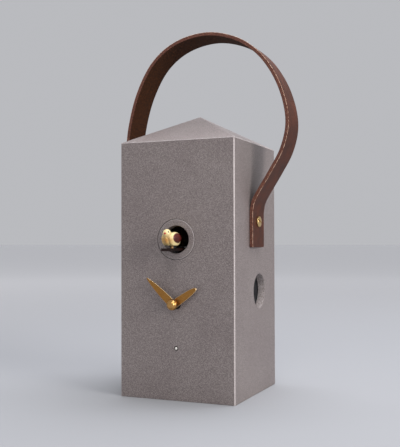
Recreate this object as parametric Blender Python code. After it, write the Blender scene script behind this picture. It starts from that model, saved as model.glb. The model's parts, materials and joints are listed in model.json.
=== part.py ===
"""Cuckoo clock in a tall lacquered case, carried and hung by a leather strap.

Sizes are in millimetres and turned to metres when a mesh is made. The origin is the middle of
the case's underside, +Z is up, and the clock faces -Y.
"""
import math

import bmesh
import bpy
from mathutils import Matrix, Vector

MM = 0.001
GAP = 0.3                       # between pieces that touch

# Case
CASE_WIDTH = 145.0
CASE_DEPTH = 145.0
CASE_HEIGHT = 300.0             # underside to eaves
ROOF_RISE = 38.0                # eaves to apex
WALL = 9.0
EDGE_CHAMFER = 1.2
BLOCK_SIDE = 12.0               # glued corner blocks
FOOT_GAP = 1.0                  # corner blocks end this far from the roof's underside

# Bird window
WINDOW_Z = 185.5
WINDOW_RADIUS = 15.9
RING_RADIUS = 23.5
RING_FLANGE = 3.5               # step of the ring behind the panel
RING_FLANGE_THICK = 2.0

# Hands
HANDS_Z = 111.0
MINUTE_LENGTH = 44.5
HOUR_LENGTH = 33.5
MINUTE_ANGLE = 48.0             # degrees to the left of twelve
HOUR_ANGLE = 56.0               # degrees to the right of twelve
HAND_WIDTH = 9.3
HAND_THICK = 1.0
CAP_RADIUS = 6.5
ARBOR_RADIUS = 1.2
PIPE_RADIUS = 2.6
BUSHING_RADIUS = 4.0
NUT_RADIUS = 5.8
COUNTERBORE_DEPTH = 4.0

# Movement
HOUSING_SIDE = 56.0
HOUSING_DEPTH = 15.0
HOUSING_WALL = 1.4
COVER_THICK = 1.5
MODULE_A = 0.5                  # millimetres of pitch diameter per tooth
MODULE_B = 0.48
ADDENDUM = 0.85                 # tooth height above the pitch circle, in modules
DEDENDUM = 1.25
TOOTH_FOOT = 0.27               # half a tooth's width at its root, in pitches
TOOTH_CREST = 0.11              # and at its tip

# Light sensor
SENSOR_Z = 60.0
SENSOR_RADIUS = 2.4
SENSOR_FLANGE = 4.0             # width of its holder behind the panel

# Side sound holes and speaker
SOUND_HOLE_RADIUS = 21.0
SOUND_HOLE_Y = 12.0
SOUND_HOLE_Z = 123.0
SPEAKER_RADIUS = 28.0
SPEAKER_DEPTH = 22.0

# Strap
STRAP_WIDTH = 41.0
STRAP_THICK = 4.0
STRAP_Y = -3.0
STRAP_END = 124.0               # strap ends, below the eaves
STRAP_SCREW_DROP = 93.4         # strap screws, below the eaves
STRAP_SCREW_RADIUS = 6.5
STRAP_SCREW_HEAD = 2.5
SCREW_SLOT = 1.2
SLOT_TURN = -20.0               # degrees from level
SHANK_RADIUS = 2.0

# Bird and its slide
BIRD_TRAVEL = 38.0
BIRD_OUT = BIRD_TRAVEL - WALL - 3.0     # perch in front of the panel; in, it clears the ring
PERCH_HALF = 6.5
PERCH_THICK = 3.2
PERCH_DROP = 10.1               # perch's upper face, below the middle of the window
PERCH_LENGTH = 86.5
RACK_MODULE = 0.8
RACK_HALF = 2.6
DRIVE_TEETH = 15
DRIVE_Y = -20.0
PINION_HALF = 3.0
STUB_REACH = 6.8                # pinion's short shaft end, from the middle
SHAFT_REACH = 15.0              # and its long end, inside the motor
MOTOR_RADIUS = 8.0
MOTOR_REACH = 36.0
GUIDE_HALF = 9.6
GUIDE_FOOT = 17.0               # half the width of its foot
LUG_INNER = 4.4                 # inner faces of the pinion's bearing lugs
GUIDE_LIP = 1.6                 # lip that laps over the perch
GUIDE_REAR = 12.0
LEG_HEIGHT = 3.1
LEG_RADIUS = 1.5
BODY = (8.6, 15.6, 7.7)         # radii of the bird's rounded parts
HEAD = (5.0, 5.1, 5.3)
TAIL = (3.4, 6.0, 2.4)
WING = (3.0, 11.3, 5.2)
WING_OUT = 6.4
BEAK_RADIUS = 1.3

# Rear door, hanger and fasteners
DOOR_HALF = 45.0
DOOR_LOW = 25.0
DOOR_HIGH = 165.0
DOOR_CLEARANCE = 0.5
HINGE_RADIUS = 1.5
FINGER_HOLE = 8.0
HANGER_DROP = 38.0              # middle of the hanger plate, below the eaves
HANGER_WIDTH = 34.0
HANGER_HEIGHT = 24.0
HANGER_THICK = 1.5
HANGER_RECESS = 1.5             # plate lies this deep, so its screws stay below the back
KEYHOLE_SKIN = 1.5              # wood left behind the room for the nail's head
PILOT_SKIN = 1.0                # and behind the hanger's screw holes
KEYHOLE_RADIUS = 4.5
KEYHOLE_SLOT = 2.3
SMALL_SHANK = 1.5

# Batteries and electronics
CELL_RADIUS = 13.1
CELL_LENGTH = 50.0
CELL_SPACING = 28.0
CELLS_Y = 26.0
BOARD_LOW = 50.0
BOARD_HIGH = 98.0
BOARD_LEFT = -59.0
BOARD_WIDTH = 39.0
BOARD_THICK = 1.6
BOARD_Y = 19.8

# Worked out from the above
HALF = CASE_WIDTH / 2
FRONT = -CASE_DEPTH / 2
BACK = CASE_DEPTH / 2
INNER_X = HALF - WALL
INNER_FRONT = FRONT + WALL
INNER_BACK = BACK - WALL
SHELF = INNER_FRONT + GAP       # where the movement sits behind the front panel
PERCH_TOP = WINDOW_Z - PERCH_DROP
PERCH_LOW = PERCH_TOP - PERCH_THICK
PERCH_FRONT = FRONT - BIRD_OUT
STRAP_SCREW_Z = CASE_HEIGHT - STRAP_SCREW_DROP

FINISHES = {                    # linear colour, roughness, metallic
    "lacquer": ((0.20, 0.18, 0.17), 0.5, 0.0),
    "leather": ((0.10, 0.05, 0.035), 0.6, 0.0),
    "brass": ((0.55, 0.36, 0.13), 0.3, 1.0),
    "steel": ((0.55, 0.55, 0.57), 0.35, 1.0),
    "black_plastic": ((0.02, 0.02, 0.02), 0.5, 0.0),
    "grey_plastic": ((0.25, 0.25, 0.26), 0.5, 0.0),
    "white_plastic": ((0.75, 0.75, 0.72), 0.5, 0.0),
    "wood": ((0.50, 0.34, 0.18), 0.7, 0.0),
    "bird_cream": ((0.80, 0.68, 0.42), 0.4, 0.0),
    "bird_red": ((0.16, 0.02, 0.015), 0.4, 0.0),
    "perch_brown": ((0.05, 0.015, 0.01), 0.5, 0.0),
    "paper_cone": ((0.03, 0.03, 0.03), 0.9, 0.0),
    "circuit_green": ((0.02, 0.15, 0.06), 0.5, 0.0),
    "lens": ((0.70, 0.72, 0.75), 0.1, 0.0),
}


# ---------------------------------------------------------------- shape helpers

def clear_scene():
    for old in list(bpy.data.objects):
        bpy.data.objects.remove(old, do_unlink=True)


def material(finish):
    found = bpy.data.materials.get(finish)
    if found:
        return found
    colour, roughness, metallic = FINISHES[finish]
    made = bpy.data.materials.new(finish)
    made.use_nodes = True
    shader = made.node_tree.nodes["Principled BSDF"]
    shader.inputs["Base Color"].default_value = (*colour, 1)
    shader.inputs["Roughness"].default_value = roughness
    shader.inputs["Metallic"].default_value = metallic
    return made


def place(axis, a, b, h):
    """A point whose height is along an axis and whose flat place is (a, b) across it."""
    return {"X": (h, a, b), "Y": (a, h, b), "Z": (a, b, h)}[axis]


def prism(outline, axis, low, high):
    """A solid of a flat outline pushed along an axis."""
    shape = bmesh.new()
    corners = [shape.verts.new(place(axis, a, b, low)) for a, b in outline]
    face = shape.faces.new(corners)
    moved = bmesh.ops.extrude_face_region(shape, geom=[face])["geom"]
    step = Vector(place(axis, 0, 0, high - low))
    for item in moved:
        if isinstance(item, bmesh.types.BMVert):
            item.co += step
    return tidy(shape)


def block(low, high):
    (x0, y0, z0), (x1, y1, z1) = low, high
    return prism([(x0, y0), (x1, y0), (x1, y1), (x0, y1)], "Z", z0, z1)


def turned(profile, axis, a, b, steps=32):
    """A solid turned about an axis through (a, b), from its (radius, height) profile."""
    shape = bmesh.new()
    points = [shape.verts.new(place(axis, a + r, b, h)) for r, h in profile]
    edges = [shape.edges.new(pair) for pair in zip(points, points[1:])]
    if profile[0][0] > 0:
        edges.append(shape.edges.new((points[-1], points[0])))
    bmesh.ops.spin(shape, geom=points + edges, cent=place(axis, a, b, 0), steps=steps,
                   axis=place(axis, 0, 0, 1), angle=2 * math.pi)
    bmesh.ops.remove_doubles(shape, verts=shape.verts[:], dist=0.001)
    return tidy(shape)


def rod(axis, a, b, radius, low, high, steps=24):
    return turned([(0, low), (radius, low), (radius, high), (0, high)], axis, a, b, steps)


def ring(axis, a, b, inner, outer, low, high, steps=48):
    return turned([(inner, low), (outer, low), (outer, high), (inner, high)], axis, a, b, steps)


def ball(centre, radii, steps=16, rings=10):
    shape = bmesh.new()
    bmesh.ops.create_uvsphere(shape, u_segments=steps, v_segments=rings, radius=1)
    shape.transform(Matrix.Translation(centre) @ Matrix.Diagonal((*radii, 1)))
    return tidy(shape)


def tidy(shape):
    bmesh.ops.recalc_face_normals(shape, faces=shape.faces[:])
    return shape


def add(name, shape, finish):
    mesh = bpy.data.meshes.new(name)
    shape.transform(Matrix.Scale(MM, 4))
    shape.to_mesh(mesh)
    shape.free()
    mesh.materials.append(material(finish))
    mesh.shade_smooth()
    mesh.set_sharp_from_angle(angle=math.radians(35))
    made = bpy.data.objects.new(name, mesh)
    bpy.context.scene.collection.objects.link(made)
    return made


def combine(target, shape, operation):
    tool = add(f"{target.name}_{operation.lower()}_{len(target.modifiers)}", shape, "steel")
    tool.hide_render = True
    tool.display_type = "WIRE"
    step = target.modifiers.new(tool.name, "BOOLEAN")
    step.operation = operation
    step.object = tool
    step.solver = "EXACT"
    return target


def cut(target, *shapes):
    for shape in shapes:
        combine(target, shape, "DIFFERENCE")
    return target


def weld(target, *shapes):
    for shape in shapes:
        combine(target, shape, "UNION")
    return target


def smooth_route(points, steps):
    """Points on a smooth curve through the given ones (Catmull-Rom)."""
    ends = [points[0]] + list(points) + [points[-1]]
    route = []
    for before, start, end, after in zip(ends, ends[1:], ends[2:], ends[3:]):
        for step in range(steps):
            t = step / steps
            route.append(tuple(
                0.5 * (2 * s + (e - b) * t + (2 * b - 5 * s + 4 * e - a) * t ** 2
                       + (3 * s - b - 3 * e + a) * t ** 3)
                for b, s, e, a in zip(before, start, end, after)))
    return route + [points[-1]]


def gear(teeth, module, a, b, low, high, phase=0.0, axis="Y"):
    """A spur gear with straight-sided teeth; phase is the angle of a tooth's middle."""
    pitch = 2 * math.pi / teeth
    root = (teeth / 2 - DEDENDUM) * module
    tip = (teeth / 2 + ADDENDUM) * module
    outline = []
    for tooth in range(teeth):
        middle = phase + tooth * pitch
        for share, radius in tooth_corners(root, tip):
            angle = middle + share * pitch
            outline.append((a + radius * math.cos(angle), b + radius * math.sin(angle)))
    return prism(outline, axis, low, high)


def tooth_corners(root, tip):
    """A tooth's four corners, as shares of the pitch from its middle and heights."""
    return ((-TOOTH_FOOT, root), (-TOOTH_CREST, tip), (TOOTH_CREST, tip), (TOOTH_FOOT, root))


def facing_gap(teeth, towards):
    """Phase that turns a space between teeth towards an angle."""
    return towards + math.pi / teeth


# ---------------------------------------------------------------- case

def panel_outline(half, front):
    """Plan of the front panel, mitred at both ends, for a face half wide at depth front."""
    seam = GAP / math.sqrt(2)
    lip = (EDGE_CHAMFER - seam) / 2
    right = [(half - EDGE_CHAMFER, front), (half - EDGE_CHAMFER + lip, front + lip),
             (half - WALL - seam, front + WALL)]
    left = [(-x, y) for x, y in reversed(right)]
    return right + left


def side_outline(side):
    seam = GAP / math.sqrt(2)
    lip = (EDGE_CHAMFER - seam) / 2
    points = [(HALF, FRONT + EDGE_CHAMFER), (HALF, BACK - EDGE_CHAMFER), (HALF - EDGE_CHAMFER, BACK),
              (INNER_X, BACK), (INNER_X, INNER_FRONT + seam),
              (HALF - lip, FRONT + EDGE_CHAMFER - lip)]
    return [(side * x, y) for x, y in points]


def make_case():
    front = add("front_panel", prism(panel_outline(HALF, FRONT), "Z", 0, CASE_HEIGHT), "lacquer")
    through = (FRONT - 5, INNER_FRONT + 5)
    cut(front,
        rod("Y", 0, WINDOW_Z, RING_RADIUS + GAP, *through, steps=56),
        rod("Y", 0, HANDS_Z, BUSHING_RADIUS + 0.4, *through),
        rod("Y", 0, HANDS_Z, NUT_RADIUS + 0.4, FRONT - 5, FRONT + COUNTERBORE_DEPTH, steps=32),
        rod("Y", 0, SENSOR_Z, SENSOR_RADIUS + GAP, *through))
    for name, side in (("side_panel_left", -1), ("side_panel_right", 1)):
        panel = add(name, prism(side_outline(side), "Z", 0, CASE_HEIGHT), "lacquer")
        span = sorted((side * (INNER_X - 5), side * (HALF + 5)))
        cut(panel,
            rod("X", SOUND_HOLE_Y, SOUND_HOLE_Z, SOUND_HOLE_RADIUS, *span, steps=48),
            rod("X", STRAP_Y, STRAP_SCREW_Z, SHANK_RADIUS + GAP, *span))
    add("bottom_panel", block((-INNER_X + GAP, INNER_FRONT + GAP, 0),
                              (INNER_X - GAP, INNER_BACK - GAP, WALL)), "lacquer")
    make_roof()
    make_blocks()
    make_window_ring()


def make_roof():
    """A hollow pyramid whose eaves carry a narrow chamfer."""
    shape = bmesh.new()
    low = CASE_HEIGHT + GAP
    depth = CASE_DEPTH / 2
    slope = ROOF_RISE / HALF
    inner_drop = WALL * math.sqrt(1 + slope ** 2)

    def square(inset, z):
        corners = ((-1, -1), (1, -1), (1, 1), (-1, 1))
        return [shape.verts.new((x * (HALF - inset), y * (depth - inset), z)) for x, y in corners]

    outer = square(0, low)
    eaves = square(EDGE_CHAMFER / 2, low + EDGE_CHAMFER * 0.8)
    apex = shape.verts.new((0, 0, CASE_HEIGHT + ROOF_RISE))
    rim = WALL + (inner_drop - WALL) / slope
    inner = square(rim, low)
    peak = shape.verts.new((0, 0, low + (HALF - rim) * slope))
    for here in range(4):
        there = (here + 1) % 4
        shape.faces.new((outer[here], outer[there], eaves[there], eaves[here]))
        shape.faces.new((eaves[here], eaves[there], apex))
        shape.faces.new((inner[there], inner[here], peak))
        shape.faces.new((outer[there], outer[here], inner[here], inner[there]))
    add("roof", tidy(shape), "lacquer")


def make_blocks():
    """Glued corner strips that the rear panel is screwed to."""
    edge = INNER_X - GAP
    low_y = INNER_BACK - GAP - BLOCK_SIDE
    for name, side in (("corner_block_left", -1), ("corner_block_right", 1)):
        x0, x1 = sorted((side * edge, side * (edge - BLOCK_SIDE)))
        made = add(name, block((x0, low_y, WALL + GAP), (x1, INNER_BACK - GAP, CASE_HEIGHT - FOOT_GAP)),
                   "wood")
        for _, x, z in panel_screws():
            if x * side > 0:
                cut(made, rod("Y", x, z, SMALL_SHANK + GAP, INNER_BACK - 11, BACK, 16))


def panel_screws():
    """Name and place of the four screws of the rear panel."""
    x = INNER_X - GAP - BLOCK_SIDE / 2
    places = (("lower_left", -x, 20.0), ("lower_right", x, 20.0),
              ("upper_left", -x, CASE_HEIGHT - 20), ("upper_right", x, CASE_HEIGHT - 20))
    return [(f"panel_screw_{name}", x, z) for name, x, z in places]


def make_window_ring():
    behind = INNER_FRONT + GAP
    profile = [(WINDOW_RADIUS, FRONT + 0.4), (WINDOW_RADIUS + 0.4, FRONT), (RING_RADIUS - 0.3, FRONT),
               (RING_RADIUS, FRONT + 0.3), (RING_RADIUS, behind), (RING_RADIUS + RING_FLANGE, behind),
               (RING_RADIUS + RING_FLANGE, behind + RING_FLANGE_THICK),
               (WINDOW_RADIUS, behind + RING_FLANGE_THICK)]
    add("window_ring", turned(profile, "Y", 0, WINDOW_Z, 56), "lacquer")


def screw(axis, a, b, seat, way, head, head_height, shank, length):
    """A pan-head screw: its head stands on seat, away from way, and its shank goes along way."""
    profile = [(0, seat - way * head_height), (head * 0.8, seat - way * head_height),
               (head, seat - way * head_height * 0.5), (head, seat), (shank, seat),
               (shank, seat + way * length), (0, seat + way * length)]
    return turned(profile, axis, a, b, 20)


# ---------------------------------------------------------------- strap

def make_strap():
    """The strap's middle line runs from one side face, over the roof and down the other."""
    seat = HALF + GAP + STRAP_THICK / 2
    wide = seat / 74.8          # the arch widens with the case
    up = CASE_HEIGHT
    arch = ((75.4, -78), (79.6, -65), (98.8, -34), (112.5, -9), (119, 19), (115.3, 48), (103.5, 78),
            (84, 105), (56, 125), (18, 134.5), (-22, 127.5), (-53, 106), (-74, 71), (-86, 31),
            (-89.5, -4), (-84.5, -42), (-78.3, -66), (-75.4, -78))
    low = up - STRAP_END
    bend = up - 88
    route = [(seat, low), (seat, bend - 16), (seat, bend)]
    route += [(x * wide, up + z) for x, z in arch]
    route += [(-seat, bend), (-seat, bend - 16), (-seat, low)]
    middle = smooth_route(route, 3)
    outer, inner = [], []
    for index, (x, z) in enumerate(middle):
        before = middle[max(index - 1, 0)]
        after = middle[min(index + 1, len(middle) - 1)]
        along = Vector((after[0] - before[0], after[1] - before[1])).normalized()
        out = Vector((along.y, -along.x)) * STRAP_THICK / 2
        outer.append((x + out.x, z + out.y))
        inner.append((x - out.x, z - out.y))
    low_y = STRAP_Y - STRAP_WIDTH / 2
    strap = add("strap", prism(outer + inner[::-1], "Y", low_y, low_y + STRAP_WIDTH), "leather")
    for name, side in (("strap_screw_left", -1), ("strap_screw_right", 1)):
        span = sorted((side * (INNER_X - 5), side * (HALF + 12)))
        cut(strap, rod("X", STRAP_Y, STRAP_SCREW_Z, SHANK_RADIUS + GAP, *span))
        under_head = side * (HALF + STRAP_THICK + 2 * GAP)
        shape = screw("X", STRAP_Y, STRAP_SCREW_Z, under_head, -side, STRAP_SCREW_RADIUS,
                      STRAP_SCREW_HEAD, SHANK_RADIUS, STRAP_THICK + WALL + 6)
        head = under_head + side * STRAP_SCREW_HEAD
        slot = block((-STRAP_SCREW_HEAD / 2, -STRAP_SCREW_RADIUS - 1, -SCREW_SLOT / 2),
                     (STRAP_SCREW_HEAD / 2, STRAP_SCREW_RADIUS + 1, SCREW_SLOT / 2))
        slot.transform(Matrix.Translation((head, STRAP_Y, STRAP_SCREW_Z))
                       @ Matrix.Rotation(math.radians(SLOT_TURN), 4, "X"))
        cut(add(name, shape, "brass"), slot)


# ---------------------------------------------------------------- movement and hands

HOUSING_BACK = SHELF + HOUSING_DEPTH
INSIDE = SHELF + HOUSING_WALL
HOUR_LAYER = (INSIDE + 0.6, INSIDE + 1.6)
SETTING_LAYER = (INSIDE + 2.2, INSIDE + 3.6)
CENTRE_LAYER = (INSIDE + 4.6, INSIDE + 5.6)
THIRD_LAYER = (INSIDE + 6.6, INSIDE + 7.6)
MINUTE_WHEEL_DISTANCE = (12 + 36) / 2 * MODULE_A
THIRD_DISTANCE = (60 + 10) / 2 * MODULE_A
ROTOR_DISTANCE = (50 + 10) / 2 * MODULE_B
UP = math.pi / 2
MINUTE_WHEEL_AT = (0.0, HANDS_Z + MINUTE_WHEEL_DISTANCE)
SETTING_WAY = math.radians(20)
SETTING_AT = (MINUTE_WHEEL_DISTANCE * math.cos(SETTING_WAY),
              MINUTE_WHEEL_AT[1] + MINUTE_WHEEL_DISTANCE * math.sin(SETTING_WAY))
THIRD_WAY = math.radians(225)
THIRD_AT = (THIRD_DISTANCE * math.cos(THIRD_WAY), HANDS_Z + THIRD_DISTANCE * math.sin(THIRD_WAY))
ROTOR_AT = (THIRD_AT[0] + ROTOR_DISTANCE, THIRD_AT[1])
HAND_GAP = FRONT - 5.1          # back face of the hour hand
HOUR_HAND = (HAND_GAP - HAND_THICK, HAND_GAP)
MINUTE_HAND = (HOUR_HAND[0] - 2.2 - HAND_THICK, HOUR_HAND[0] - 2.2)


def make_movement():
    side = HOUSING_SIDE / 2
    hollow = side - HOUSING_WALL
    corner = 7.0
    housing = add("movement_housing", block((-side, SHELF, HANDS_Z - side),
                                            (side, HOUSING_BACK, HANDS_Z + side)), "black_plastic")
    cavity = [(hollow, hollow - corner), (hollow - corner, hollow), (corner - hollow, hollow),
              (-hollow, hollow - corner), (-hollow, corner - hollow), (corner - hollow, -hollow),
              (hollow - corner, -hollow), (hollow, corner - hollow)]
    cavity = [(x, z + HANDS_Z) for x, z in cavity]
    cut(housing, prism(cavity, "Y", INSIDE, HOUSING_BACK + 1))
    weld(housing, rod("Y", 0, HANDS_Z, BUSHING_RADIUS, FRONT + 0.7, SHELF + 0.7, steps=32))
    weld(housing, rod("Y", *MINUTE_WHEEL_AT, 0.8, INSIDE - 0.7, SETTING_LAYER[1] + 0.3, steps=12))
    cut(housing, rod("Y", 0, HANDS_Z, PIPE_RADIUS + 0.4, FRONT, INSIDE + 0.5, steps=32))
    cut(housing, rod("Y", *THIRD_AT, 0.9, SHELF - 1, INSIDE + 0.5, steps=12))
    cover_low = HOUSING_BACK + GAP
    cover_high = cover_low + COVER_THICK
    cover = add("movement_cover", block((-side, cover_low, HANDS_Z - side),
                                        (side, cover_high, HANDS_Z + side)), "grey_plastic")
    span = (cover_low - 1, cover_high + 1)
    cut(cover, rod("Y", 0, HANDS_Z, ARBOR_RADIUS, *span, 16),
        rod("Y", *THIRD_AT, 0.9, *span, 12),
        rod("Y", *SETTING_AT, ARBOR_RADIUS + GAP, *span, 16))
    nut_low = FRONT + 1.1
    nut = ring("Y", 0, HANDS_Z, BUSHING_RADIUS + GAP, NUT_RADIUS, nut_low,
               FRONT + COUNTERBORE_DEPTH - GAP, 32)
    nut_made = add("movement_nut", nut, "black_plastic")
    cut(nut_made, block((-0.6, nut_low - 1, HANDS_Z - 8), (0.6, nut_low + 0.8, HANDS_Z + 8)))
    motor_front = THIRD_LAYER[1] + 0.9
    x, z = ROTOR_AT
    motor = add("step_motor", block((x - 5.5, motor_front, z - 7.5), (x + 12.5, cover_low - GAP, z + 5.5)),
                "white_plastic")
    cut(motor, rod("Y", x, z, 0.9, motor_front - 1, motor_front + 3, 12))
    make_train(cover_low, cover_high, motor_front)
    make_hands()


def make_train(cover_low, cover_high, motor_front):
    """Hour, minute, third and rotor wheels, and the setting wheel behind the cover."""
    arbor_tip = MINUTE_HAND[0] - 2.6
    arbor = add("minute_arbor", rod("Y", 0, HANDS_Z, ARBOR_RADIUS, arbor_tip, cover_low - GAP, 20),
                "steel")
    pinion_phase = UP           # a tooth points up, into a space of the minute wheel
    weld(arbor, gear(12, MODULE_A, 0, HANDS_Z, *SETTING_LAYER, pinion_phase),
         rod("Y", 0, HANDS_Z, ARBOR_RADIUS - 0.3, cover_low - 1, cover_high, 12))
    centre_phase = THIRD_WAY    # a tooth points to the third arbor
    centre = add("centre_wheel", gear(60, MODULE_A, 0, HANDS_Z, *CENTRE_LAYER, centre_phase), "brass")
    cut(centre, rod("Y", 0, HANDS_Z, ARBOR_RADIUS + GAP, CENTRE_LAYER[0] - 1, CENTRE_LAYER[1] + 1, 20))
    wheel_phase = facing_gap(36, -UP)
    wheel = gear(36, MODULE_A, *MINUTE_WHEEL_AT, *SETTING_LAYER, wheel_phase)
    wheel_made = add("minute_wheel", wheel, "white_plastic")
    small = gear(10, MODULE_B, *MINUTE_WHEEL_AT, HOUR_LAYER[0] - 0.2, SETTING_LAYER[0] + 0.2, -UP)
    weld(wheel_made, small)
    cut(wheel_made, rod("Y", *MINUTE_WHEEL_AT, 1.1, INSIDE, SETTING_LAYER[1] + 1, 12))
    hour = gear(40, MODULE_B, 0, HANDS_Z, *HOUR_LAYER, facing_gap(40, UP))
    hour_made = add("hour_wheel", hour, "brass")
    weld(hour_made, rod("Y", 0, HANDS_Z, PIPE_RADIUS, HOUR_HAND[0] - 0.6, HOUR_LAYER[0] + 0.5, 32))
    cut(hour_made, rod("Y", 0, HANDS_Z, ARBOR_RADIUS + 0.4, HOUR_HAND[0] - 3, HOUR_LAYER[1] + 1, 20))
    third = gear(50, MODULE_B, *THIRD_AT, *THIRD_LAYER, 0.0)
    third_made = add("third_wheel", third, "white_plastic")
    weld(third_made,
         gear(10, MODULE_A, *THIRD_AT, CENTRE_LAYER[0] - 0.3, THIRD_LAYER[0] + 0.3,
              facing_gap(10, THIRD_WAY - math.pi)),
         rod("Y", *THIRD_AT, 0.6, SHELF + 0.3, cover_high - 0.3, 12))
    rotor = gear(10, MODULE_B, *ROTOR_AT, THIRD_LAYER[0] - 0.3, THIRD_LAYER[1] + 0.3,
                 facing_gap(10, math.pi))
    weld(add("rotor_pinion", rotor, "white_plastic"),
         rod("Y", *ROTOR_AT, 0.6, THIRD_LAYER[1], motor_front + 2.5, 12))
    pitch = 2 * math.pi / 36
    steps_off = ((SETTING_WAY - wheel_phase) / pitch) % 1.0
    setting_phase = SETTING_WAY + math.pi + (steps_off + 0.5) * 2 * math.pi / 12
    setting = gear(12, MODULE_A, *SETTING_AT, *SETTING_LAYER, setting_phase)
    setting_made = add("setting_knob", setting, "black_plastic")
    grip = [(SETTING_AT[0] + (7.0 - 0.5 * (k % 2)) * math.cos(math.pi * k / 18),
             SETTING_AT[1] + (7.0 - 0.5 * (k % 2)) * math.sin(math.pi * k / 18)) for k in range(36)]
    weld(setting_made,
         rod("Y", *SETTING_AT, ARBOR_RADIUS, SETTING_LAYER[0] + 0.3, cover_high + 1, 16),
         prism(grip, "Y", cover_high + 1.8 * GAP, cover_high + 4.5))


def hand_outline(length, mid_width, tip_width, angle):
    """A leaf-shaped hand from its hub to a rounded tip, turned clockwise from twelve."""
    hub = HAND_WIDTH / 2
    half = [(hub, 0.0), (hub, length * 0.22), (mid_width / 2, length * 0.52),
            ((mid_width + tip_width) * 0.27, length * 0.78), (tip_width / 2, length - tip_width * 0.4),
            (tip_width * 0.3, length - tip_width * 0.1)]
    arc = [(hub * math.cos(math.radians(a)), -hub * math.sin(math.radians(a)))
           for a in range(20, 180, 20)]
    right = smooth_route(half[1:5], 3) + [half[5]]
    outline = [half[0]] + right + [(0, length)] + [(-x, z) for x, z in reversed(right)]
    outline += [(-hub, 0.0)] + [(-x, z) for x, z in arc]
    turn = math.radians(angle)
    return [(x * math.cos(turn) + z * math.sin(turn), HANDS_Z + z * math.cos(turn) - x * math.sin(turn))
            for x, z in outline]


def make_hands():
    hour = add("hour_hand", prism(hand_outline(HOUR_LENGTH, 8.3, 4.1, HOUR_ANGLE), "Y", *HOUR_HAND), "brass")
    cut(hour, rod("Y", 0, HANDS_Z, PIPE_RADIUS + GAP, HOUR_HAND[0] - 1, HOUR_HAND[1] + 1))
    minute_outline = hand_outline(MINUTE_LENGTH, 7.6, 1.8, -MINUTE_ANGLE)
    minute = add("minute_hand", prism(minute_outline, "Y", *MINUTE_HAND), "brass")
    cut(minute, rod("Y", 0, HANDS_Z, ARBOR_RADIUS + GAP, MINUTE_HAND[0] - 1, MINUTE_HAND[1] + 1))
    base = MINUTE_HAND[0] - GAP
    profile = [(0, base - CAP_RADIUS)]
    for degrees in range(15, 91, 15):
        turn = math.radians(degrees)
        profile.append((CAP_RADIUS * math.sin(turn), base - 0.6 - (CAP_RADIUS - 0.6) * math.cos(turn)))
    bore = ARBOR_RADIUS + GAP
    profile += [(CAP_RADIUS - 0.4, base), (bore, base), (bore, base - 2.6), (0, base - 2.6)]
    add("hand_cap", turned(profile, "Y", 0, HANDS_Z, 24), "brass")


# ---------------------------------------------------------------- light sensor

def make_sensor():
    behind = INNER_FRONT + GAP
    rear = behind + 2.5
    add("sensor_holder", ring("Y", 0, SENSOR_Z, SENSOR_RADIUS + GAP, SENSOR_RADIUS + SENSOR_FLANGE,
                              behind, rear, 24), "black_plastic")
    dome = [(SENSOR_RADIUS * math.sin(math.radians(a)),
             FRONT + 1.2 - (SENSOR_RADIUS - 0.6) * math.cos(math.radians(a))) for a in range(0, 91, 30)]
    add("light_sensor", turned(dome + [(SENSOR_RADIUS, rear), (0, rear)], "Y", 0, SENSOR_Z, 16), "lens")


# ---------------------------------------------------------------- bird

def make_bird():
    """The bird faces -Y and stands on a peg at the front of its sliding perch."""
    foot = PERCH_TOP + LEG_HEIGHT
    nose = PERCH_FRONT - 3.5
    breast = nose + 1.0
    body = add("bird_body", ball((0, breast + BODY[1], foot + BODY[2]), BODY, 18, 10), "bird_cream")
    weld(body, ball((0, nose + HEAD[1], foot + 13.4), HEAD, 14, 8),
         ball((0, nose + 35.0, foot + 8.5), TAIL, 10, 6))
    for name, side in (("bird_wing_left", -1), ("bird_wing_right", 1)):
        middle = (side * WING_OUT, nose + 17.5, foot + 9.2)
        add(name, ball(middle, WING, 16, 8), "bird_red")
        cut(body, ball(middle, [radius + GAP for radius in WING], 16, 8))
    beak_z = foot + 13.8
    cut(body, rod("Y", 0, beak_z, BEAK_RADIUS + GAP, nose - 3, nose + 2.9, 12))
    beak = turned([(0, nose - 1.6), (BEAK_RADIUS, nose + 0.8), (BEAK_RADIUS, nose + 2.6),
                   (0, nose + 2.6)], "Y", 0, beak_z, 12)
    add("bird_beak", beak, "bird_red")
    leg_y = nose + 19.0
    sunk = PERCH_TOP - 2.0
    add("bird_leg", rod("Z", 0, leg_y, LEG_RADIUS, sunk, foot + 3.0, 12), "wood")
    hole = rod("Z", 0, leg_y, LEG_RADIUS + GAP, sunk - GAP, foot + 3.0 + GAP, 12)
    cut(body, hole)
    perch = add("bird_carriage", block((-PERCH_HALF, PERCH_FRONT, PERCH_LOW),
                                       (PERCH_HALF, PERCH_FRONT + PERCH_LENGTH, PERCH_TOP)), "perch_brown")
    weld(perch, rack())
    cut(perch, rod("Z", 0, leg_y, LEG_RADIUS + GAP, sunk - GAP, PERCH_TOP + 1, 12))


PITCH_Z = PERCH_LOW - 0.5 - DEDENDUM * RACK_MODULE
DRIVE_RADIUS = DRIVE_TEETH * RACK_MODULE / 2
DRIVE_Z = PITCH_Z - DRIVE_RADIUS


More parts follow.
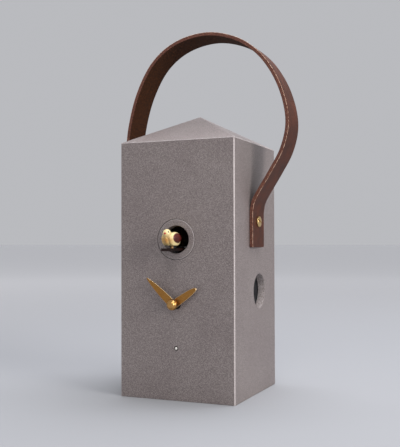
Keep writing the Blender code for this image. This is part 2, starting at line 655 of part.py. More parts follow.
def rack():
    """Teeth under the perch that point down, with a tooth over the middle of the pinion."""
    pitch = math.pi * RACK_MODULE
    root = PERCH_LOW - 0.5
    tip = PITCH_Z - ADDENDUM * RACK_MODULE
    first = -math.floor((DRIVE_Y - INNER_FRONT - 1) / pitch)
    last = math.floor((PERCH_FRONT + PERCH_LENGTH - 3 - DRIVE_Y) / pitch)
    low_y = DRIVE_Y + (first - 0.5) * pitch
    high_y = DRIVE_Y + (last + 0.5) * pitch
    outline = [(high_y, PERCH_LOW + 0.5), (low_y, PERCH_LOW + 0.5), (low_y, root)]
    for tooth in range(first, last + 1):
        middle = DRIVE_Y + tooth * pitch
        for share, height in tooth_corners(root, tip):
            outline.append((middle + share * pitch, height))
    outline.append((high_y, root))
    return prism(outline, "X", -RACK_HALF, RACK_HALF)


def make_slide():
    deck = PERCH_LOW - GAP
    lip = PERCH_TOP + GAP
    out = PERCH_HALF + GAP
    front = INNER_FRONT + RING_FLANGE_THICK + 3 * GAP
    lap = out - GUIDE_LIP
    right = [(GUIDE_HALF, deck - 2), (GUIDE_HALF, lip + 1.5), (lap, lip + 1.5), (lap, lip),
             (out, lip), (out, deck)]
    section = right + [(-x, z) for x, z in reversed(right)]
    guide = add("guide_frame", prism(section, "Y", front, GUIDE_REAR), "grey_plastic")
    foot_low = HANDS_Z + HOUSING_SIDE / 2 + 2.5
    foot_high = WINDOW_Z - RING_RADIUS - RING_FLANGE - 0.8
    weld(guide, block((-GUIDE_HALF, front, foot_high - 6), (GUIDE_HALF, front + 3, deck - 1)))
    weld(guide, block((-GUIDE_FOOT, SHELF, foot_low), (GUIDE_FOOT, front + 3, foot_high)))
    lug = (DRIVE_Y - 9, DRIVE_Y + 9)
    for low_x, high_x in ((-STUB_REACH, -LUG_INNER), (LUG_INNER, GUIDE_HALF)):
        weld(guide, block((low_x, lug[0], DRIVE_Z - 8), (high_x, lug[1], deck - 1)))
    weld(guide, block((-GUIDE_HALF, GUIDE_REAR - 4, deck - 6), (GUIDE_HALF, GUIDE_REAR, deck - 1.4)))
    rack_tip = PITCH_Z - ADDENDUM * RACK_MODULE
    cut(guide, block((-3.4, front - 1, rack_tip - 0.4), (3.4, GUIDE_REAR + 1, deck + 1)))
    cut(guide, rod("X", DRIVE_Y, DRIVE_Z, SMALL_SHANK + GAP, -8, 11, 16))
    teeth = gear(DRIVE_TEETH, RACK_MODULE, DRIVE_Y, DRIVE_Z, -PINION_HALF, PINION_HALF,
                 facing_gap(DRIVE_TEETH, UP), "X")
    pinion = add("drive_pinion", teeth, "white_plastic")
    weld(pinion, rod("X", DRIVE_Y, DRIVE_Z, SMALL_SHANK, -STUB_REACH, SHAFT_REACH, 16))
    motor = add("gear_motor", rod("X", DRIVE_Y, DRIVE_Z, MOTOR_RADIUS, GUIDE_HALF + GAP, MOTOR_REACH, 32),
                "steel")
    cut(motor, rod("X", DRIVE_Y, DRIVE_Z, SMALL_SHANK + GAP, GUIDE_HALF - 1, SHAFT_REACH + GAP, 16))


# ---------------------------------------------------------------- rear door and hanger

def make_rear():
    panel = add("rear_panel", block((-INNER_X + GAP, INNER_BACK, 0), (INNER_X - GAP, BACK, CASE_HEIGHT)),
                "lacquer")
    cut(panel, block((-DOOR_HALF, INNER_BACK - 1, DOOR_LOW), (DOOR_HALF, BACK + 1, DOOR_HIGH)))
    middle = BACK - WALL / 2
    hinge_x = -DOOR_HALF + DOOR_CLEARANCE + WALL / 2
    reach = 8.0
    door_low = DOOR_LOW + DOOR_CLEARANCE
    door_high = DOOR_HIGH - DOOR_CLEARANCE
    arc = [(hinge_x + WALL / 2 * math.cos(math.radians(a)), middle + WALL / 2 * math.sin(math.radians(a)))
           for a in range(90, 271, 15)]
    free = DOOR_HALF - DOOR_CLEARANCE - 0.2
    outline = arc + [(free, INNER_BACK), (free, BACK)]
    door = add("rear_door", prism(outline, "Z", door_low, door_high), "lacquer")
    for name, level in (("door_pin_lower", DOOR_LOW), ("door_pin_upper", DOOR_HIGH)):
        low, high = level - reach, level + reach
        hole = (hinge_x, middle, HINGE_RADIUS + GAP, low - GAP, high + GAP, 16)
        cut(panel, rod("Z", *hole))
        cut(door, rod("Z", *hole))
        add(name, rod("Z", hinge_x, middle, HINGE_RADIUS, low, high, 16), "steel")
    door_middle = (DOOR_LOW + DOOR_HIGH) / 2
    cut(door, rod("Y", free - 16, door_middle + 22, FINGER_HOLE, INNER_BACK - 1, BACK + 1, 32))
    catch_x = free - 5.5
    cut(door, rod("Y", catch_x, door_middle, 4 + GAP, INNER_BACK - 1, INNER_BACK + 1.5, 24))
    add("door_strike", rod("Y", catch_x, door_middle, 4, INNER_BACK, INNER_BACK + 1.2, 24), "steel")
    add("magnet_catch", block((catch_x - 6, INNER_BACK - 8, door_middle - 6),
                              (INNER_X - BLOCK_SIDE - 2 * GAP, INNER_BACK - GAP, door_middle + 6)),
        "black_plastic")
    for name, x, z in panel_screws():
        hole = [(0, INNER_BACK - 1), (SMALL_SHANK + GAP, INNER_BACK - 1), (SMALL_SHANK + GAP, BACK - 2.4),
                (3.2 + GAP, BACK - 2.4), (3.2 + GAP, BACK + 1), (0, BACK + 1)]
        cut(panel, turned(hole, "Y", x, z, 20))
        add(name, screw("Y", x, z, BACK - 2.1, -1, 3.2, 1.8, SMALL_SHANK, 16.0), "steel")
    make_hanger(panel)


def make_hanger(panel):
    z = CASE_HEIGHT - HANGER_DROP
    half_w = HANGER_WIDTH / 2
    half_h = HANGER_HEIGHT / 2
    face = BACK - HANGER_RECESS
    low_y = face - HANGER_THICK
    cut(panel, block((-half_w - GAP, low_y - GAP, z - half_h - GAP),
                     (half_w + GAP, BACK + 1, z + half_h + GAP)))
    cut(panel, block((-8, INNER_BACK + KEYHOLE_SKIN, z - 9), (8, low_y, z + 9)))
    plate = add("hanger_plate", block((-half_w, low_y, z - half_h), (half_w, face, z + half_h)), "steel")
    cut(plate, rod("Y", 0, z - 3, KEYHOLE_RADIUS, low_y - 1, BACK + 1, 24))
    cut(plate, block((-KEYHOLE_SLOT, low_y - 1, z - 3), (KEYHOLE_SLOT, BACK + 1, z + 7)))
    pilot = INNER_BACK + PILOT_SKIN
    seat = face + GAP
    for name, side in (("hanger_screw_left", -1), ("hanger_screw_right", 1)):
        x = side * (half_w - 4)
        cut(plate, rod("Y", x, z, 1.2 + GAP, low_y - 1, BACK + 1, 16))
        cut(panel, rod("Y", x, z, 1.2 + GAP, pilot, BACK, 16))
        add(name, screw("Y", x, z, seat, -1, 2.6, 0.9, 1.2, seat - pilot - 0.8), "steel")


# ---------------------------------------------------------------- sound and electronics

def make_speaker():
    y, z = SOUND_HOLE_Y, SOUND_HOLE_Z
    face = INNER_X - GAP
    back = face - SPEAKER_DEPTH
    frame = add("speaker_frame",
                turned([(24.0, face), (SPEAKER_RADIUS, face), (SPEAKER_RADIUS, face - 1.6),
                        (23.0, face - 1.6), (14.0, back + 7), (14.0, back + 5.4), (9.5, back + 5.4),
                        (9.5, back + 7.4), (12.0, back + 7.4), (22.0, face - 1.8), (24.0, face - 1.0)],
                       "X", y, z, 28), "steel")
    cone = [(0, face - 9.0), (5.0, face - 8.0), (8.5, face - 10.5), (20.5, face - 0.8), (21.0, face - 1.8),
            (9.0, face - 11.5), (5.0, face - 11.5), (0, face - 11.5)]
    add("speaker_cone", turned(cone, "X", y, z, 28), "paper_cone")
    weld(frame, rod("X", y, z, 12.0, back - 4, back + 6.4, 32))


def make_power():
    half = CELL_LENGTH / 2
    wall_low = half + 3.4
    wall_high = wall_low + 2.0
    floor = WALL + GAP
    cells_y = (CELLS_Y - CELL_SPACING / 2, CELLS_Y + CELL_SPACING / 2)
    reach = CELL_SPACING / 2 + CELL_RADIUS + 2.4
    cell_z = floor + 2.4 + GAP + CELL_RADIUS
    holder = add("battery_holder", block((-wall_high, CELLS_Y - reach, floor),
                                         (wall_high, CELLS_Y + reach, cell_z + 4)), "black_plastic")
    cut(holder, block((-wall_low, CELLS_Y - reach + 2, floor + 2.4),
                      (wall_low, CELLS_Y + reach - 2, cell_z + 9)))
    for name, way, y in zip(("battery_front", "battery_rear"), (1, -1), cells_y):
        profile = [(0, -way * half), (CELL_RADIUS, -way * half), (CELL_RADIUS, way * (half - 1.5)),
                   (3.5, way * (half - 1.5)), (3.5, way * half), (0, way * half)]
        add(name, turned(profile, "X", y, cell_z, 28), "grey_plastic")
        x0, x1 = sorted((-way * (half + GAP), -way * (wall_low + 1)))
        weld(holder, turned([(0, x0), (3.5, x0), (3.5, x1), (0, x1)], "X", y, cell_z, 16))


def make_electronics():
    low_x = BOARD_LEFT
    high_x = BOARD_LEFT + BOARD_WIDTH
    wall_x = -INNER_X + GAP
    plate_y = BOARD_Y - GAP
    angle = [(wall_x, plate_y), (wall_x, BOARD_Y - 16), (wall_x + 1.5, BOARD_Y - 16),
             (wall_x + 1.5, plate_y - 1.5), (high_x - 3, plate_y - 1.5), (high_x - 3, plate_y)]
    add("board_bracket", prism(angle, "Z", BOARD_LOW + 4, BOARD_HIGH - 4), "steel")
    back = BOARD_Y + BOARD_THICK
    board = add("circuit_board", block((low_x, BOARD_Y, BOARD_LOW), (high_x, back, BOARD_HIGH)),
                "circuit_green")
    deep = back - 0.5           # soldered pieces join the board
    weld(board, block((low_x + 6, deep, BOARD_LOW + 8), (low_x + 16, back + 1.4, BOARD_LOW + 18)),
         block((low_x + 21, deep, BOARD_LOW + 7), (low_x + 27, back + 1.2, BOARD_LOW + 12)),
         rod("Y", low_x + 8, BOARD_LOW + 26, 3.0, deep, back + 7, 20),
         block((low_x + 30, deep, BOARD_LOW + 3), (low_x + 37, back + 5, BOARD_LOW + 15)))
    switch_x = low_x + 11
    switch_z = BOARD_HIGH - 9
    weld(board, block((switch_x - 6, deep, switch_z - 3), (switch_x + 6, back + 4, switch_z + 3)))
    cut(board, block((switch_x - 4, back + 1.5, switch_z - 1.5), (switch_x + 4, back + 5, switch_z + 1.5)))
    lever = block((switch_x - 3.7, back + 1.8, switch_z - 1.2), (switch_x - 1.2, back + 8, switch_z + 1.2))
    add("switch_lever", lever, "white_plastic")
    knob_x = high_x - 12
    knob_z = BOARD_HIGH - 13
    weld(board, block((knob_x - 6, deep, knob_z - 6), (knob_x + 6, back + 4.5, knob_z + 6)))
    cut(board, rod("Y", knob_x, knob_z, SMALL_SHANK + GAP, back + 1.5, back + 6, 16))
    knob_low = back + 4.5 + GAP
    grip = [(knob_x + (6.5 - 0.5 * (k % 2)) * math.cos(math.pi * k / 15),
             knob_z + (6.5 - 0.5 * (k % 2)) * math.sin(math.pi * k / 15)) for k in range(30)]
    knob = add("volume_knob", prism(grip, "Y", knob_low, knob_low + 7), "black_plastic")
    weld(knob, rod("Y", knob_x, knob_z, SMALL_SHANK, back + 1.8, knob_low + 1, 16))
    cut(knob, block((knob_x - 0.5, knob_low + 6.2, knob_z), (knob_x + 0.5, knob_low + 8, knob_z + 5)))


def main():
    clear_scene()
    make_case()
    make_strap()
    make_movement()
    make_sensor()
    make_bird()
    make_slide()
    make_rear()
    make_speaker()
    make_power()
    make_electronics()


main()
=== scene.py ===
import math

import bmesh
import bpy
from mathutils import Matrix, Vector
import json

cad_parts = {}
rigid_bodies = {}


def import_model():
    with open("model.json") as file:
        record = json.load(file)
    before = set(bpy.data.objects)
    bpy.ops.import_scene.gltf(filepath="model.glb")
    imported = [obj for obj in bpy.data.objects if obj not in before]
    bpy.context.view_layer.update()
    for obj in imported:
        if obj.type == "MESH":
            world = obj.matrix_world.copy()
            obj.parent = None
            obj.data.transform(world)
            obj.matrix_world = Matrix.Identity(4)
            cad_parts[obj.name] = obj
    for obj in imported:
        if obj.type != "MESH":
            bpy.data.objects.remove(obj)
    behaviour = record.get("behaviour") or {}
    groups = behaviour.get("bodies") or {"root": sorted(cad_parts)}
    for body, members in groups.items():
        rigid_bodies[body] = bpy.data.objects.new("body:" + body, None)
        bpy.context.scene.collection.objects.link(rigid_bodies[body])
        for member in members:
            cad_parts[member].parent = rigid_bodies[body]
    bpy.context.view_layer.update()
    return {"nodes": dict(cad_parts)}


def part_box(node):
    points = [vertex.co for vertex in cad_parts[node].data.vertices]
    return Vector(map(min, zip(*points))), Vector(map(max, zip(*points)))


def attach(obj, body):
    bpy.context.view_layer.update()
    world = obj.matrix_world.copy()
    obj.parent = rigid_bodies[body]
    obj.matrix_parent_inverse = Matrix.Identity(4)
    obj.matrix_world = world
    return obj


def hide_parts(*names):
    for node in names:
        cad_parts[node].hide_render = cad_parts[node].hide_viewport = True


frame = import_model()

MM = 0.001
GAP = 0.3 * MM                  # room left round a piece that fits in a hole


# ------------------------------------------------------------------ frame sizes

def middle(node):
    """The middle of a CAD node's box."""
    low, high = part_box(node)
    return (Vector(low) + Vector(high)) / 2


FRONT_LOW, FRONT_HIGH = map(Vector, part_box("front_panel"))
SIDE_HIGH = Vector(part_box("side_panel_right")[1])
HALF_WIDTH = SIDE_HIGH.x
FRONT = FRONT_LOW.y
BACK = SIDE_HIGH.y
EAVES = FRONT_HIGH.z
WALL = FRONT_HIGH.y - FRONT_LOW.y
WINDOW_Z = middle("window_ring").z
HANDS_Z = middle("hand_cap").z
SENSOR_Z = middle("light_sensor").z
SOUND_Y = middle("speaker_frame").y
SOUND_Z = middle("speaker_frame").z
SOUND_RADIUS = 21 * MM
RING_RADIUS = 23.5 * MM
RING_SEAM = 0.3 * MM            # the fine line round the ring
WINDOW_RADIUS = 15.9 * MM
LENS_RADIUS = 2.4 * MM
BUSHING_HOLE = 4.4 * MM         # radius of the hole for the movement's threaded bushing
NUT_RECESS = 6.2 * MM           # radius of the recess that its nut sits in
NUT_DEPTH = 4 * MM
SHANK_HOLE = 2.3 * MM           # radius of the hole for a strap screw
EDGE = 1.2 * MM                 # chamfer of the case's long edges
STRAP_THICK = 4 * MM
STRAP_BEND = 88 * MM            # how far below the eaves the strap leaves the side
STRAP_STRAIGHT = 16 * MM        # the stretch below that, kept straight by a point at each end
SCREW_HEAD = 2.5 * MM           # height of a strap screw's round head
SCREW_RIM = 0.9 * MM            # height of the straight rim under its dome
SCREW_SLOT = 1.5 * MM           # width of its slot
SLOT_TURN = math.radians(-20)
CAP_RIM = 0.9 * MM              # straight rim of the cap over the hands
LENS_RISE = 1.9 * MM            # height of the sensor's dome
BIRD_WAIST = 7.6 * MM           # height of the middle of the bird's body above its flat foot


# ------------------------------------------------------------------ materials

def colour(code):
    """Linear colour of an sRGB hex code."""
    parts = [int(code[i:i + 2], 16) / 255 for i in (1, 3, 5)]
    linear = [c / 12.92 if c <= 0.04045 else ((c + 0.055) / 1.055) ** 2.4 for c in parts]
    return (*linear, 1)


def add(tree, kind, sockets=(), stops=(), **settings):
    """Adds a shader node with its settings and links. A socket takes a value, or another node's
    output as a link. Stops are a colour ramp's, as (position, hex code)."""
    made = tree.nodes.new("ShaderNode" + kind)
    for name, value in settings.items():
        setattr(made, name, value)
    for name, value in dict(sockets).items():
        if isinstance(value, bpy.types.NodeSocket):
            tree.links.new(value, made.inputs[name])
        else:
            made.inputs[name].default_value = value
    for i, (position, code) in enumerate(stops):
        band = made.color_ramp.elements
        stop = band[0] if i == 0 else band.new(position) if i < len(stops) - 1 else band[-1]
        stop.position = position
        stop.color = colour(code)
    return made


def new_material(name, **sockets):
    """A material with its Principled shader; socket names are given with _ for a space."""
    made = bpy.data.materials.new(name)
    made.use_nodes = True
    tree = made.node_tree
    shader = tree.nodes["Principled BSDF"]
    for socket, value in sockets.items():
        shader.inputs[socket.replace("_", " ")].default_value = value
    place = add(tree, "TexCoord").outputs["Object"]
    return made, tree, shader, place


def surface(tree, shader, shade, height, strength, depth, gloss=None, rough=()):
    """Links a material's colour, its relief and, where its gloss varies, its roughness."""
    tree.links.new(shade, shader.inputs["Base Color"])
    relief = add(tree, "Bump", {"Height": height, "Strength": strength, "Distance": depth})
    tree.links.new(relief.outputs["Normal"], shader.inputs["Normal"])
    if gloss:
        polish = add(tree, "MapRange", {"Value": gloss, "To Min": rough[0], "To Max": rough[1]})
        tree.links.new(polish.outputs["Result"], shader.inputs["Roughness"])


def textured_lacquer(name, dark, body, light, rough, **sockets):
    """Sprayed two-pack lacquer with metal powder: a fine orange-peel skin over taupe, where
    single grains sparkle lighter or sit darker. The real grit is finer still, and is drawn at
    0.8 mm so that it shows. A paler copy of it is painted on edges as their highlight."""
    made, tree, shader, place = new_material(name, **sockets)
    grit = add(tree, "TexNoise", {"Vector": place, "Scale": 1.3 / MM, "Detail": 1.5,
                                  "Roughness": 0.6}).outputs["Fac"]
    cloud = add(tree, "TexNoise", {"Vector": place, "Scale": 0.02 / MM, "Detail": 2.0})
    grains = add(tree, "ValToRGB", {"Fac": grit}, ((0.35, dark), (0.50, body), (0.65, light)))
    patches = add(tree, "ValToRGB", {"Fac": cloud.outputs["Fac"]}, ((0.3, "#F3F1F2"), (0.7, "#FFFFFF")))
    # sockets 6 and 7 are the two colours of a Mix node, and output 2 is its colour
    mixed = add(tree, "Mix", {0: 1.0, 6: grains.outputs["Color"], 7: patches.outputs["Color"]},
                data_type="RGBA", blend_type="MULTIPLY")
    surface(tree, shader, mixed.outputs[2], grit, 0.25, 0.08 * MM, grit, (rough - 0.08, rough + 0.1))
    return made


def grain_leather():
    """Vegetable-tanned leather, dyed red-brown and waxed: a smooth grain side with a low, soft
    sheen, fine pores and slow changes of tone where wax has sunk in. The pores are drawn 0.9 mm
    apart, coarser than real, so that they show."""
    made, tree, shader, place = new_material("waxed_grain_leather", Specular_IOR_Level=0.22)
    pores = add(tree, "TexVoronoi", {"Vector": place, "Scale": 1.1 / MM})
    tone = add(tree, "TexNoise", {"Vector": place, "Scale": 0.06 / MM, "Detail": 5.0,
                                  "Roughness": 0.6}).outputs["Fac"]
    shade = add(tree, "ValToRGB", {"Fac": tone}, ((0.28, "#361708"), (0.5, "#45200F"), (0.75, "#552917")))
    surface(tree, shader, shade.outputs["Color"], pores.outputs["Distance"], 0.25, 0.1 * MM,
            tone, (0.50, 0.64))
    return made


def fibrous_leather(name, scale, detail, roughness, stops, strength, depth, **sockets):
    """Leather cut or split open: matted fibres of broken lengths vary its tone and stand proud."""
    made, tree, shader, place = new_material(name, **sockets)
    fibres = add(tree, "TexNoise", {"Vector": place, "Scale": scale, "Detail": detail,
                                    "Roughness": roughness}).outputs["Fac"]
    shade = add(tree, "ValToRGB", {"Fac": fibres}, stops)
    surface(tree, shader, shade.outputs["Color"], fibres, strength, depth)
    return made


def metal(name, dark, light, rough, streak, along):
    """A worked metal: streaks drawn out along one axis vary its tone and its gloss. The streaks
    of a real brush or tool are finer, and are drawn 0.15 to 0.5 mm wide so that they show."""
    made, tree, shader, place = new_material(name, Metallic=1.0)
    stretch = add(tree, "Mapping", {"Vector": place, "Scale": along})
    lines = add(tree, "TexNoise", {"Vector": stretch.outputs["Vector"], "Scale": 1 / streak,
                                   "Detail": 4.0}).outputs["Fac"]
    shade = add(tree, "ValToRGB", {"Fac": lines}, ((0.3, dark), (0.7, light)))
    surface(tree, shader, shade.outputs["Color"], lines, 0.2, 0.01 * MM, lines, (rough * 0.8, rough * 1.2))
    return made


def moulded(name, dark, light, rough, grain=0.4 * MM, depth=0.02 * MM, **sockets):
    """A moulded plastic: the fine matt pits of a spark-eroded mould, and faint flow marks. The
    pits are drawn 0.4 mm wide, coarser than real, so that they show."""
    made, tree, shader, place = new_material(name, **sockets)
    pits = add(tree, "TexNoise", {"Vector": place, "Scale": 1 / grain, "Detail": 2.0}).outputs["Fac"]
    flow = add(tree, "TexNoise", {"Vector": place, "Scale": 0.08 / MM, "Detail": 1.0, "Distortion": 1.5})
    shade = add(tree, "ValToRGB", {"Fac": flow.outputs["Fac"]}, ((0.3, dark), (0.7, light)))
    surface(tree, shader, shade.outputs["Color"], pits, 0.3, depth, pits, (rough - 0.06, rough + 0.06))
    return made


def timber(name, dark, light, rough, ring=2.5 * MM, along=(1.0, 1.0, 0.06), **sockets):
    """Planed wood: growth rings crossing the faces and drawn out along the grain."""
    made, tree, shader, place = new_material(name, **sockets)
    stretch = add(tree, "Mapping", {"Vector": place, "Scale": along}).outputs["Vector"]
    rings = add(tree, "TexWave", {"Vector": stretch, "Scale": 0.16 / ring, "Distortion": 6.0,
                                  "Detail": 3.0, "Detail Scale": 1.5})
    pores = add(tree, "TexNoise", {"Vector": stretch, "Scale": 1.5 / MM, "Detail": 3.0}).outputs["Fac"]
    both = add(tree, "Math", {0: rings.outputs["Fac"], 1: pores}, operation="MULTIPLY").outputs["Value"]
    shade = add(tree, "ValToRGB", {"Fac": both}, ((0.1, dark), (0.6, light)))
    surface(tree, shader, shade.outputs["Color"], both, 0.3, 0.05 * MM, pores, (rough - 0.08, rough + 0.08))
    return made


def brushed_paint(name, dark, light, rough):
    """Enamel put on small turned wood with a soft brush: glossy, a little uneven in thickness,
    with strokes about 2 mm wide."""
    made, tree, shader, place = new_material(name, Coat_Weight=0.35, Coat_Roughness=0.15)
    stretch = add(tree, "Mapping", {"Vector": place, "Scale": (1.0, 0.35, 1.0)})
    strokes = add(tree, "TexNoise", {"Vector": stretch.outputs["Vector"], "Scale": 0.5 / MM,
                                     "Detail": 4.0}).outputs["Fac"]
    shade = add(tree, "ValToRGB", {"Fac": strokes}, ((0.3, dark), (0.65, light)))
    surface(tree, shader, shade.outputs["Color"], strokes, 0.25, 0.1 * MM,
            strokes, (rough - 0.05, rough + 0.08))
    return made


def cream_paint():
    """Cream enamel on the carved bird, turning to a darker ochre low on the breast and fading to
    cream higher up and further back; brush strokes about 2 mm wide leave it uneven."""
    made, tree, shader, place = new_material("cream_enamel_ochre_low_at_front", Coat_Weight=0.3,
                                             Coat_Roughness=0.18)
    low = Vector(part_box("bird_body")[0])
    strokes = add(tree, "TexNoise", {"Vector": place, "Scale": 0.5 / MM, "Detail": 4.0}).outputs["Fac"]
    split = add(tree, "SeparateXYZ", {"Vector": place})
    front = add(tree, "MapRange", {"Value": split.outputs["Y"], "From Min": low.y + 9.0 * MM,
                                   "From Max": low.y + 1.0 * MM})
    under = add(tree, "MapRange", {"Value": split.outputs["Z"], "From Min": low.z + 14.0 * MM,
                                   "From Max": low.z + 7.0 * MM})
    ochre_low_front = add(tree, "Math", {0: front.outputs["Result"], 1: under.outputs["Result"]},
               operation="MULTIPLY")
    uneven = add(tree, "MapRange", {"Value": strokes, "To Min": 0.95, "To Max": 1.35})
    amount = add(tree, "Math", {0: ochre_low_front.outputs["Value"], 1: uneven.outputs["Result"]},
                 operation="MULTIPLY")
    cream = add(tree, "ValToRGB", {"Fac": strokes}, ((0.3, "#DEC684"), (0.65, "#EFDDA8")))
    ochre = add(tree, "ValToRGB", {"Fac": strokes}, ((0.3, "#9E6C2A"), (0.65, "#C28E42")))
    mixed = add(tree, "Mix", {0: amount.outputs["Value"], 6: cream.outputs["Color"],
                              7: ochre.outputs["Color"]}, data_type="RGBA")
    surface(tree, shader, mixed.outputs[2], strokes, 0.25, 0.1 * MM, strokes, (0.3, 0.42))
    return made


LACQUER = textured_lacquer("textured_lacquer_sprayed", "#6C6260", "#867C79", "#A39996", 0.5,
                           Metallic=0.3, Coat_Weight=0.1, Coat_Roughness=0.3)
# A paler copy of the lacquer, painted on chamfered edges as their highlight.
EDGE_HIGHLIGHT_LACQUER = textured_lacquer("lacquer_painted_edge_highlight", "#9A9290", "#B4ABA8", "#D2CAC8", 0.5)
# In the side holes the spray landed dry, so the coat is dull and coarse; it is also painted paler, as
# painted light falling into the bore.
BORE_LACQUER_PAINTED_LIGHTER = textured_lacquer("bore_lacquer_painted_lighter", "#6E6664", "#9C9390", "#D0C7C4", 0.7)
GRAIN_LEATHER = grain_leather()
# The back of the same hide, left as split: short matted fibres, darker and dull, with rusty
# flecks 1 to 3 mm long.
FLESH_LEATHER = fibrous_leather("split_flesh_leather", 0.55 / MM, 6.0, 0.75,
                                ((0.30, "#1C0F07"), (0.5, "#341C0D"), (0.68, "#573014")), 0.6, 0.4 * MM,
                                Roughness=0.95, Specular_IOR_Level=0.15)
# The strap's cut edge, dyed but not burnished: a rusty core with pale broken fibres, as flecks
# about 1 mm long.
CUT_LEATHER = fibrous_leather("cut_edge_leather", 1.3 / MM, 4.0, 0.8,
                              ((0.40, "#3E2017"), (0.58, "#6A3A29"), (0.70, "#C08E74")), 0.5, 0.2 * MM,
                              Roughness=0.75)
# The corner where the knife left the grain side: dye has not reached the broken fibres, which
# show as a ragged pale line of flecks 1 to 3 mm long; the line is also a painted highlight on the rounded
# corner.
FIBRES_AND_HIGHLIGHT_LEATHER = fibrous_leather("undyed_fibres_and_painted_highlight_on_corner", 0.45 / MM, 3.0, 0.7,
                                  ((0.38, "#5A3023"), (0.46, "#B98468"), (0.54, "#F4D3B8")), 0.6, 0.2 * MM,
                                  Roughness=0.8, Specular_IOR_Level=0.3)
# Sheet brass, rolled and lightly brushed: warm, soft streaks along the sheet.
SATIN_BRASS = metal("brushed_sheet_brass", "#9A6B35", "#BC8A4A", 0.38, 0.25 * MM, (0.15, 1.0, 1.0))
# The punched edge of that sheet, painted pale as its highlight, with fine cross marks.
BRASS_EDGE_HIGHLIGHT = metal("brass_edge_painted_highlight", "#DDB982", "#FBE6C0", 0.42, 0.2 * MM, (1.0, 1.0, 1.0))
# Brass turned and buffed on a wheel: nearly a mirror, with faint turning rings.
POLISHED_BRASS = metal("buffed_turned_brass", "#B07E42", "#DDB06E", 0.24, 0.3 * MM, (1.0, 0.2, 1.0))
# Brass screws turned from bar and left bright: pale yellow with fine tool rings.
SCREW_BRASS = metal("turned_bar_brass", "#B8915A", "#E6CC92", 0.36, 0.2 * MM, (0.2, 1.0, 1.0))
# Mild steel with a bright zinc plating: cool grey, slightly cloudy.
ZINC_STEEL = metal("zinc_plated_steel", "#8D9094", "#C3C6C8", 0.34, 0.5 * MM, (1.0, 1.0, 1.0))
# Silver steel rod, ground: fine rings round it.
GROUND_STEEL = metal("ground_silver_steel", "#9B9C9E", "#D0D1D2", 0.22, 0.15 * MM, (0.3, 1.0, 0.3))
# Gear wheels stamped from sheet brass, then deburred: yellow, with a cloudy satin face.
WHEEL_BRASS = metal("stamped_wheel_brass", "#A57C36", "#CDA55A", 0.30, 0.4 * MM, (1.0, 1.0, 1.0))
BLACK_PLASTIC = moulded("black_moulded_abs", "#0E0E0F", "#161617", 0.46)
GREY_PLASTIC = moulded("grey_moulded_abs", "#55575A", "#606265", 0.50)
# Acetal is waxy and slightly see-through, so its gloss is soft.
WHITE_PLASTIC = moulded("white_moulded_acetal", "#D8D6CE", "#E6E4DC", 0.38, Subsurface_Weight=0.1,
                        Subsurface_Scale=0.001)
# Paper pulp pressed into a cone: dull black, with coarse felted dimples.
PAPER_CONE = moulded("pressed_pulp_paper", "#17171A", "#26262A", 0.88, grain=0.8 * MM, depth=0.15 * MM)
# Green mask on a glass-epoxy board: half gloss, with the weave below as soft dimples.
SOLDER_MASK = moulded("solder_mask_on_glass_epoxy", "#0C3A20", "#14502C", 0.34, grain=1.5 * MM)
# A plastic sleeve shrunk on a cell: a smooth, glossy dark skin.
CELL_SLEEVE = moulded("shrink_sleeve_on_cell", "#20242C", "#2B303A", 0.28, Coat_Weight=0.4)
# Clear epoxy cast round a light sensor: glassy, faintly milky.
CLEAR_LENS = moulded("cast_clear_epoxy", "#4A4644", "#6A6664", 0.12, depth=0.005 * MM,
                     Transmission_Weight=0.3, IOR=1.52)
# A pale glossy spot painted on the dome's tip: a painted highlight, standing also for the chip under the
# lens.
LENS_TIP_HIGHLIGHT = moulded("lens_tip_painted_highlight", "#D8D4CC", "#F4F0E8", 0.2, depth=0.005 * MM)
PLANED_PINE = timber("planed_pine", "#A97C4B", "#D4AE7A", 0.62)
BEECH_PEG = timber("turned_beech", "#B98A55", "#D9B27C", 0.48, 1.0 * MM)
# Beech under a dark spirit stain, unvarnished: nearly black, with the grain just showing.
STAINED_BEECH = timber("dark_stained_beech", "#110605", "#2C120C", 0.5, 1.2 * MM, (1.0, 0.08, 1.0),
                       Specular_IOR_Level=0.25)
CREAM_PAINT = cream_paint()
RED_PAINT = brushed_paint("ox_red_enamel_on_wood", "#3E0F0C", "#5E1913", 0.36)
BEAK_PAINT = brushed_paint("red_enamel_on_wood", "#9E1D12", "#C4301E", 0.32)
BLACK_PAINT = brushed_paint("black_enamel_on_wood", "#060606", "#0E0E0E", 0.25)


# ------------------------------------------------------------------ modelling helpers

def start(primitive, name, **settings):
    """Adds a primitive at its size and place, open in edit mode with nothing selected."""
    bpy.ops.object.select_all(action="DESELECT")
    primitive(**settings)
    piece = bpy.context.object
    piece.name = name
    piece.data.name = name
    bpy.ops.object.transform_apply(location=True, rotation=True, scale=True)
    bpy.ops.object.mode_set(mode="EDIT")
    bpy.ops.mesh.select_all(action="DESELECT")
    return piece


def pick(kind, test):
    """Selects the faces, edges or verts of the mesh in edit mode that pass a test."""
    bpy.ops.mesh.select_mode(type={"faces": "FACE", "edges": "EDGE", "verts": "VERT"}[kind])
    bpy.ops.mesh.select_all(action="DESELECT")
    shape = bmesh.from_edit_mesh(bpy.context.object.data)
    for part in getattr(shape, kind):
        if test(part):
            part.select_set(True)
    bmesh.update_edit_mesh(bpy.context.object.data)


def between(edge):
    """The middle of an edge."""
    return (edge.verts[0].co + edge.verts[1].co) / 2


def close():
    """Leaves edit mode."""
    bpy.ops.object.mode_set(mode="OBJECT")


def modify(piece, kind, **settings):
    """Adds a modifier and applies it."""
    bpy.context.view_layer.objects.active = piece
    step = piece.modifiers.new(kind.lower(), kind)
    for name, value in settings.items():
        setattr(step, name, value)
    bpy.ops.object.modifier_apply(modifier=step.name)


